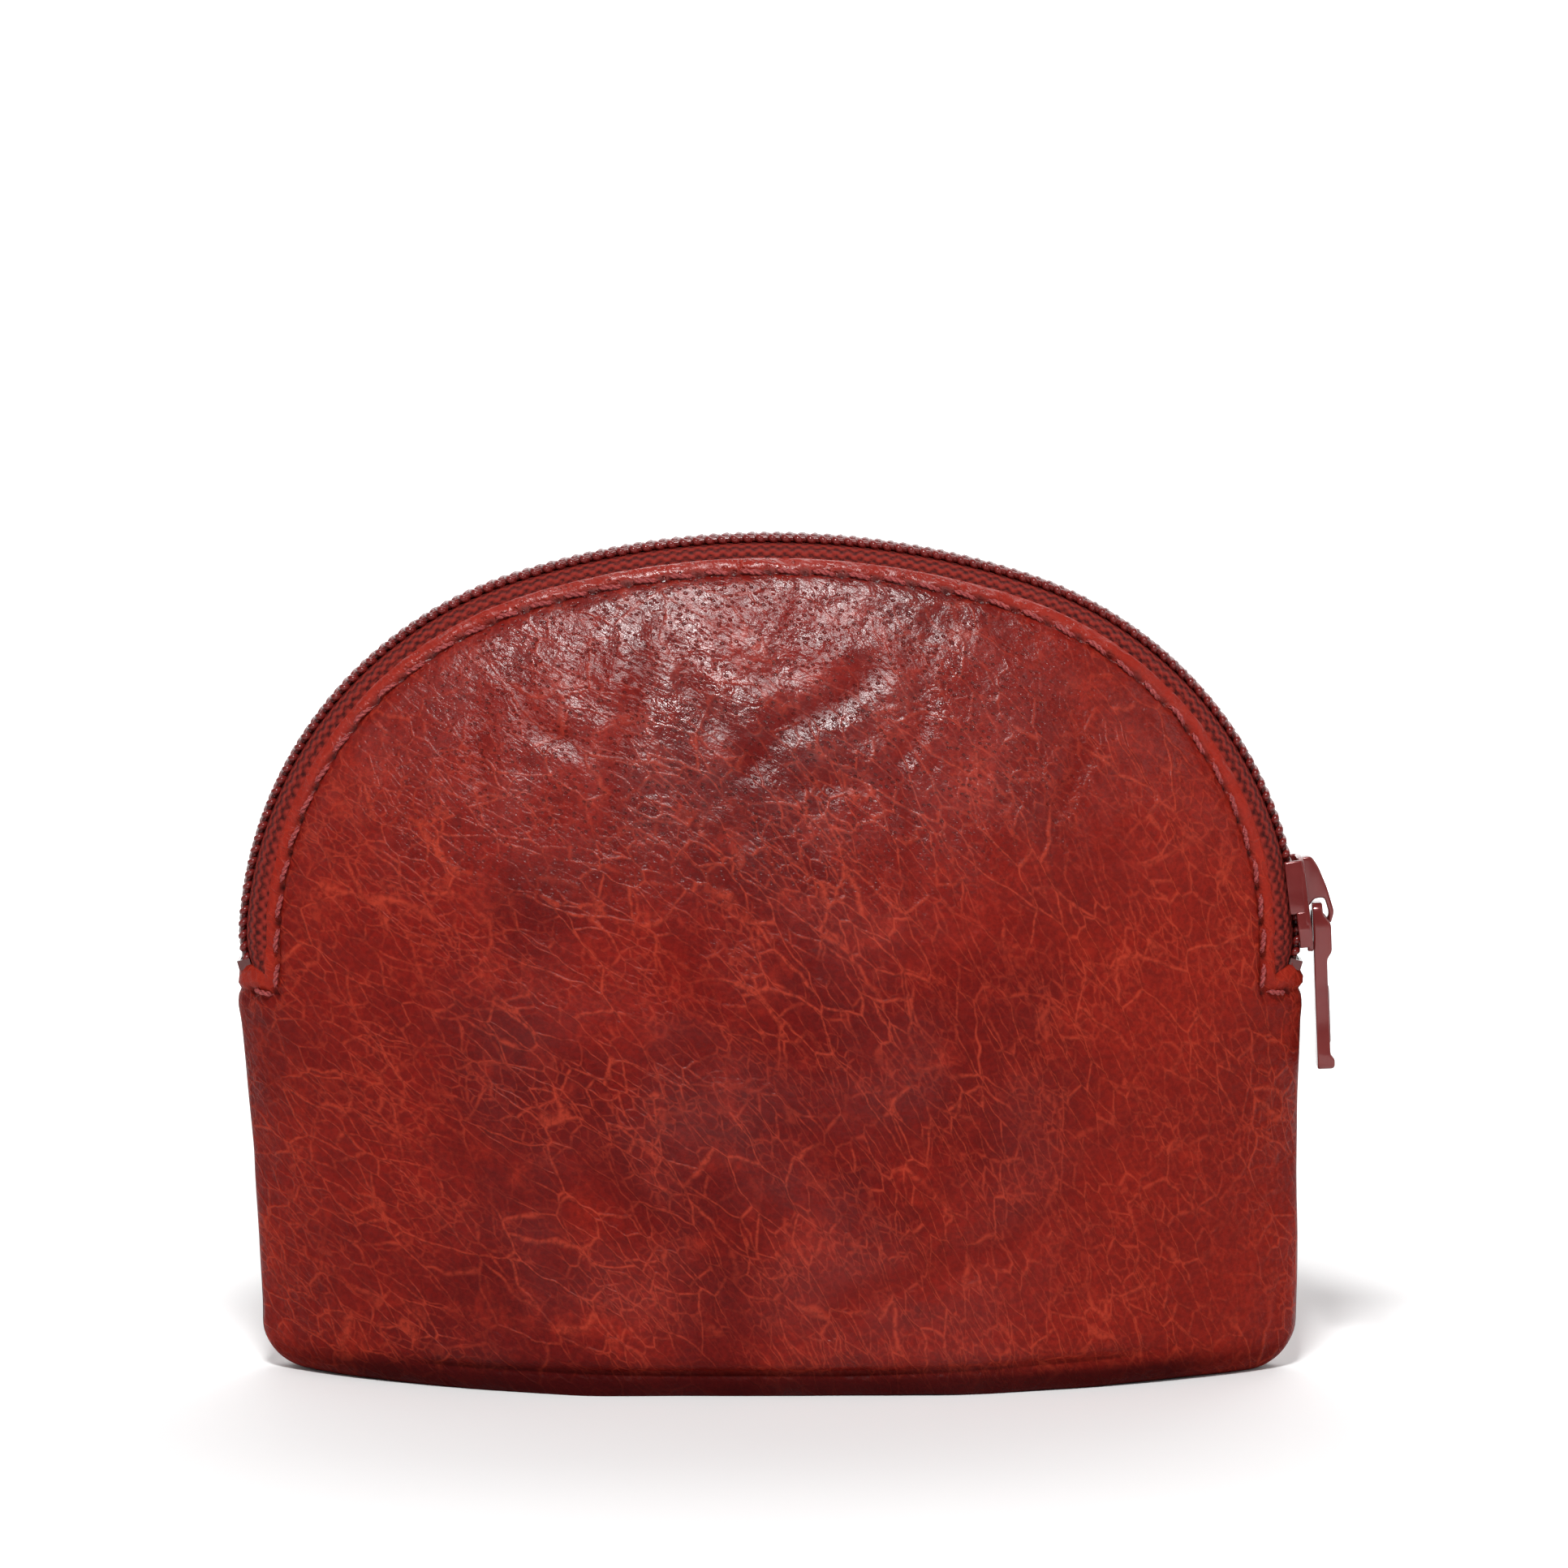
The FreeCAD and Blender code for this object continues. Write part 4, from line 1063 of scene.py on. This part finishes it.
def tape(side):
    """One tape of the zip: from under the coil it curves down to the hem and runs on inside it."""
    end_gap, step = 0.3 * MM, 0.6 * MM
    distance = np.arange(-HALF_ARCH + end_gap, HALF_ARCH, step)
    base, outward = arch_line(distance)
    # the section across the tape: how far to the side, and how far below the outside of the coil
    section = [(0.35, 1.25), (0.9, 1.2), (1.5, 1.15), (2.1, 1.25), (2.8, 1.5), (3.4, 1.8), (4.1, 2.25),
               (4.5, 3.2), (4.6, 4.6), (4.6, 6.4)]
    across = np.array(section) * MM
    run = run_along(across)
    vertices, along, sideways = [], [], []
    for place, out, where in zip(base, outward, distance):
        for (offset, depth), width in zip(across, run):
            point = place - out * depth
            point[1] = side * offset
            vertices.append(point)
            along.append(where)
            sideways.append(width)
    count = len(across)
    faces = []
    for i in range(len(distance) - 1):
        for j in range(count - 1):
            face = quad(i, j, j + 1, count)
            faces.append(face if side > 0 else face[::-1])
    piece = mesh_object("tape_front" if side < 0 else "tape_back", vertices, faces)
    keep_on_mesh(piece, along=along, across=sideways)
    return thicken(piece, TAPE_THICKNESS, 0)


nylon, cloth_tape = coil_material(), tape_material()
for side, name in ((-1, "front"), (1, "back")):
    for piece, material, slot, part in ((coil(side), nylon, "nylon_coil", "coil"),
                                        (tape(side), cloth_tape, "zip_tape", "tape")):
        dress(piece, material, slot)
        bend_with_lip(piece, name)
        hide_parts(f"{name}_{part}", f"{name}_lip_{part}")


# ---- lining -----------------------------------------------------------------------------------

LINING_THICKNESS = 0.5 * MM
LINING_GAP = 1.2 * MM
LINING_FOLD = 0.5 * MM
LINING_STRIDE = 6


def lining():
    """The cloth bag inside the front panel: the leather's form moved inwards, on a coarser grid."""
    start_row = ROWS_BELOW_HEM + 12
    rows = [0, 7, ROWS_BELOW_HEM] + list(range(start_row, ROWS, LINING_STRIDE)) + [ROWS]
    columns = list(range(0, COLUMNS, LINING_STRIDE))
    inset = LEATHER_THICKNESS + LINING_GAP
    places = np.ix_(rows, columns)
    folds = noise_field(grid[places], 9 * MM, 21)
    points = grid[places] - normals[places] * (inset + LINING_FOLD * folds)[..., None]
    points[..., 2] = np.maximum(points[..., 2], inset - 0.1 * MM)
    points[..., 1] = np.minimum(points[..., 1], -0.25 * MM)
    rim = RIM_COLUMN - LINING_STRIDE
    count = len(columns)
    faces = []
    for i in range(len(rows) - 1):
        for j, column in enumerate(columns):
            following = (column + LINING_STRIDE) % COLUMNS
            inside = all(min(c, COLUMNS - c) <= rim for c in (column, following))
            if rows[i + 1] > start_row or inside:
                faces.append(quad(i, j, (j + 1) % count, count))
    piece = mesh_object("lining_front", points.reshape(-1, 3), faces)
    keep_on_mesh(piece, along=points[..., 0], across=points[..., 2])
    face_forwards(piece)
    thicken(piece, LINING_THICKNESS, -1)
    piece.data.shade_smooth()
    return piece


lining_cloth = lining_material()
lining_front = dress(lining(), lining_cloth, "lining_cloth")
lining_back = dress(mirror_to_back(lining_front, "lining_back"), lining_cloth, "lining_cloth")
for piece, side in ((lining_front, "front"), (lining_back, "back")):
    bend_with_lip(piece, side)
    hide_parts(f"{side}_lining")


# ---- slider and pull tab ----------------------------------------------------------------------

SLIDER_ANGLE = math.radians(7.1)
slider_centre = Vector((side_centre_x + SIDE_RADIUS * math.cos(SLIDER_ANGLE), 0,
                        spring_z + SIDE_RADIUS * math.sin(SLIDER_ANGLE)))
slider_place = Matrix.Translation(slider_centre) @ Matrix.Rotation(-SLIDER_ANGLE, 4, "Y")
tab_place = Matrix.Translation(joints["tab_swing"]["pos_m"]) @ Matrix.Rotation(math.radians(-2.5), 4, "Y")


def rounded(corners, radius, steps=5):
    """Closed outline through corners given in millimetres, each rounded by about one radius."""
    outline = []
    count = len(corners)
    for i, corner in enumerate(corners):
        here = np.array(corner, float)
        before, after = np.array(corners[i - 1], float), np.array(corners[(i + 1) % count], float)
        reach = min(radius, np.linalg.norm(before - here) * 0.45, np.linalg.norm(after - here) * 0.45)
        start, end = here + unit(before - here) * reach, here + unit(after - here) * reach
        for t in np.linspace(0, 1, steps):
            outline.append(((1 - t) ** 2 * start + 2 * t * (1 - t) * here + t ** 2 * end) * MM)
    return outline


def even(half, radius, steps=5):
    """Rounded outline that is the same on both sides, from the corners of its right half, top first."""
    left = [(-u, v) for u, v in half]
    return rounded(left[:1] + half + left[:0:-1], radius, steps)


def divided(outline, spacing):
    """The same closed outline with points no further apart than a spacing."""
    result = []
    for here, after in zip(outline, outline[1:] + outline[:1]):
        count = max(1, int(np.linalg.norm(after - here) / spacing))
        result += [here + (after - here) * k / count for k in range(count)]
    return result


def moulded(name, loops, low, high, rounding, place):
    """Flat shape with holes, given thickness and rounded edges, then put in place.  Loops lie in the
    plane (u, v); place turns (u, v, w) into a point, with w from low to high."""
    outline = bpy.data.curves.new(name, "CURVE")
    outline.dimensions = "2D"
    outline.fill_mode = "BOTH"
    outline.extrude = (high - low) / 2 - rounding
    outline.bevel_depth = rounding
    outline.bevel_resolution = 3
    outline.offset = -rounding
    for loop in loops:
        spline = outline.splines.new("POLY")
        spline.points.add(len(loop) - 1)
        for point, (u, v) in zip(spline.points, loop):
            point.co = (u, v, 0, 1)
        spline.use_cyclic_u = True
    holder = new_object(name, outline)
    bpy.context.view_layer.update()
    mesh = bpy.data.meshes.new_from_object(holder.evaluated_get(bpy.context.evaluated_depsgraph_get()))
    bpy.data.objects.remove(holder)
    for vertex in mesh.vertices:
        u, v, w = vertex.co
        vertex.co = place(u, v, w + (high + low) / 2)
    mesh.update()
    tidy = bmesh.new()
    tidy.from_mesh(mesh)
    bmesh.ops.remove_doubles(tidy, verts=tidy.verts, dist=0.004 * MM)
    bmesh.ops.recalc_face_normals(tidy, faces=tidy.faces)
    for edge in tidy.edges:
        edge.smooth = len(edge.link_faces) < 2 or edge.calc_face_angle(0) < math.radians(40)
    for face in tidy.faces:
        face.smooth = True
    tidy.to_mesh(mesh)
    tidy.free()
    return new_object(name, mesh)


def joined(name, pieces):
    """Several pieces made into one object."""
    whole = bmesh.new()
    for piece in pieces:
        whole.from_mesh(piece.data)
        bpy.data.objects.remove(piece)
    mesh = bpy.data.meshes.new(name)
    whole.to_mesh(mesh)
    whole.free()
    return new_object(name, mesh)


def on_slider_face(u, v, w):
    """(across, up the travel, outwards) in the slider's own frame."""
    return slider_place @ Vector((w, u, v))


def on_slider_side(u, v, w):
    """(outwards, up the travel, across) in the slider's own frame."""
    return slider_place @ Vector((u, w, v))


def slider_casting():
    """Shield-shaped outer plate with turned-in flanges, and a narrower inner plate that passes inside the
    hem; the wedge that parts the coils joins them."""
    plate = even([(2.9, 4.9), (3.1, 1.5), (3.6, -2.4), (2.9, -4.9)], 1.6)
    inner_plate = even([(2.4, 4.9), (2.6, 1.5), (2.8, -2.4), (2.4, -4.9)], 1.4)
    pieces = [moulded("outer_plate", [plate], 0.15 * MM, 0.78 * MM, 0.22 * MM, on_slider_face),
              moulded("inner_plate", [inner_plate], -2.8 * MM, -2.2 * MM, 0.2 * MM, on_slider_face)]
    for side in (-1, 1):
        flange = rounded([(side * a, b) for a, b in ((2.9, 4.75), (2.3, 4.75), (2.5, 1.5), (2.65, -0.7),
                                                     (3.3, -0.7), (3.1, 1.5))], 0.3)
        pieces.append(moulded("flange", [flange], -1.25 * MM, 0.6 * MM, 0.14 * MM, on_slider_face))
        wall = rounded([(side * a, b) for a, b in ((2.9, -0.5), (2.9, -4.1), (3.15, -4.3), (3.55, -2.4),
                                                   (3.35, -0.5))], 0.25)
        pieces.append(moulded("nose_wall", [wall], -0.6 * MM, 0.6 * MM, 0.14 * MM, on_slider_face))
    wedge = rounded([(0, -2.4), (0.6, -3.4), (0.45, -4.7), (-0.45, -4.7), (-0.6, -3.4)], 0.4)
    pieces.append(moulded("wedge", [wedge], -2.4 * MM, 0.4 * MM, 0.08 * MM, on_slider_face))
    return joined("slider_casting", pieces)


def slider_bridge():
    """The crown: it stands on the tail of the plate and hooks out and down over the tab's eye."""
    profile = rounded([(0.5, 4.75), (1.7, 4.75), (2.3, 3.6), (2.95, 1.3), (3.4, -1.25), (2.95, -2.35),
                       (2.6, -2.2), (2.85, -1.3), (2.55, 0.35), (1.5, 0.35), (0.85, -0.4), (0.5, -0.55)],
                      0.42)
    return moulded("slider_bridge", [profile], -0.95 * MM, 0.95 * MM, 0.2 * MM, on_slider_side)


def tab_faces(v):
    """Inner and outer face of the pull tab at a height above its pivot: a thick head round the eye, a
    thin blade, and a raised lip for the fingers at the end."""
    v = v / MM
    head = smoothstep(-5.4, -4.3, v) - 0.75 * smoothstep(-2.0, -0.2, v)
    lip = smoothstep(-15.0, -15.8, v) - 0.35 * smoothstep(-16.2, -16.9, v)
    bar = smoothstep(-1.6, -0.5, v)
    outer = 0.85 + 0.5 * np.clip(head, 0, 1) + 0.42 * lip - 0.42 * bar
    return -0.5 * MM, outer * MM


def on_tab(u, v, w):
    inner, outer = tab_faces(v)
    return tab_place @ Vector((inner + (outer - inner) * (w / MM + 0.5), u, v))


def pull_tab():
    outline = even([(1.7, 0.52), (2.15, -1.2), (2.15, -4.6), (1.75, -7), (1.9, -12), (2.2, -15.5),
                    (2.0, -16.7)], 1.0, 7)
    eye = even([(1.2, -0.5), (1.2, -3.3)], 0.5, 6)
    slot = even([(0.75, -8.2), (0.85, -14.2)], 0.7, 6)
    loops = [divided(loop, 0.35 * MM) for loop in (outline, eye)]
    piece = moulded("pull_tab_cast", loops, -0.5 * MM, 0.5 * MM, 0.16 * MM, on_tab)
    panel = moulded("tab_panel", [divided(slot, 0.4 * MM)], 0.35 * MM, 0.62 * MM, 0.08 * MM, on_tab)
    return joined("pull_tab_cast", [piece, panel])


enamel = enamel_material("red_enamelled_metal", srgb(104, 30, 30), srgb(126, 44, 42))
stop_enamel = enamel_material("end_stop", srgb(70, 20, 20), srgb(96, 30, 28))
for piece, body, node in ((slider_casting(), "slider", "slider_body"),
                          (slider_bridge(), "slider", "slider_crown"),
                          (pull_tab(), "pull_tab", "pull_tab")):
    dress(piece, enamel, "red_enamelled_metal")
    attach(piece, body)
    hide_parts(node)

steel = steel_material()
for node, material in (("lock_spring", steel), ("front_top_stop", stop_enamel),
                       ("back_top_stop", stop_enamel), ("bottom_stop", stop_enamel)):
    carried = bpy.data.objects[node]
    carried.data.materials.clear()
    carried.data.materials.append(material)


# ---- floor, light and camera ------------------------------------------------------------------

def studio_sweep():
    """Floor that curves up into a wall behind the object."""
    half_width, front, bend_start, bend_radius, wall_top = 1.6, -1.3, 0.5, 0.4, 1.6
    profile = [(front, 0)]
    profile += [(bend_start + bend_radius * math.sin(a), bend_radius * (1 - math.cos(a)))
                for a in np.linspace(0, math.pi / 2, 13)]
    profile.append((bend_start + bend_radius, wall_top))
    vertices = [(x, y, z) for y, z in profile for x in (-half_width, half_width)]
    faces = [(2 * i, 2 * i + 1, 2 * i + 3, 2 * i + 2) for i in range(len(profile) - 1)]
    return mesh_object("floor", vertices, faces)


floor = studio_sweep()
floor.data.materials.append(floor_material())

world = bpy.data.worlds.new("studio")
bpy.context.scene.world = world
world.use_nodes = True
background = world.node_tree.nodes["Background"]
background.inputs["Color"].default_value = (1, 1, 1, 1)
background.inputs["Strength"].default_value = 0.14

OBJECT_MIDDLE = Vector((0, 0, 0.045))


def soft_light(name, place, size, power):
    """Rectangular lamp that points at the middle of the object; its power is in watts."""
    lamp = bpy.data.lights.new(name, "AREA")
    lamp.shape = "RECTANGLE"
    lamp.size, lamp.size_y = size
    lamp.energy = power
    holder = new_object(name, lamp)
    holder.location = place
    holder.rotation_euler = (OBJECT_MIDDLE - Vector(place)).to_track_quat("-Z", "Y").to_euler()


soft_light("key", (-0.04, -0.42, 0.6), (0.12, 0.09), 4.2)
soft_light("fill_left", (-0.7, -0.5, 0.35), (0.4, 0.4), 0.6)
soft_light("fill_right", (0.7, -0.45, 0.4), (0.3, 0.4), 1.0)
soft_light("back", (0.1, 0.5, 0.7), (0.6, 0.4), 1.6)

CAMERA_DISTANCE = 0.75
CAMERA_RISE = math.radians(8.5)
# Width of what the camera sees at the object's distance.
FRAME_WIDTH = 0.1612
SENSOR = 36.0
camera_data = bpy.data.cameras.new("camera")
camera_data.sensor_width = SENSOR
camera_data.lens = SENSOR * CAMERA_DISTANCE / FRAME_WIDTH
camera_data.shift_x = 0.009
camera_data.shift_y = 0.1073
camera_data.clip_start = 0.01
camera = new_object("camera", camera_data)
centre = Vector((0, 0, (cad_low[2] + cad_high[2]) / 2))
direction = Vector((0, -math.cos(CAMERA_RISE), math.sin(CAMERA_RISE)))
camera.location = centre + direction * CAMERA_DISTANCE
camera.rotation_euler = (-direction).to_track_quat("-Z", "Y").to_euler()
bpy.context.scene.camera = camera
bpy.context.scene.view_settings.view_transform = "Standard"
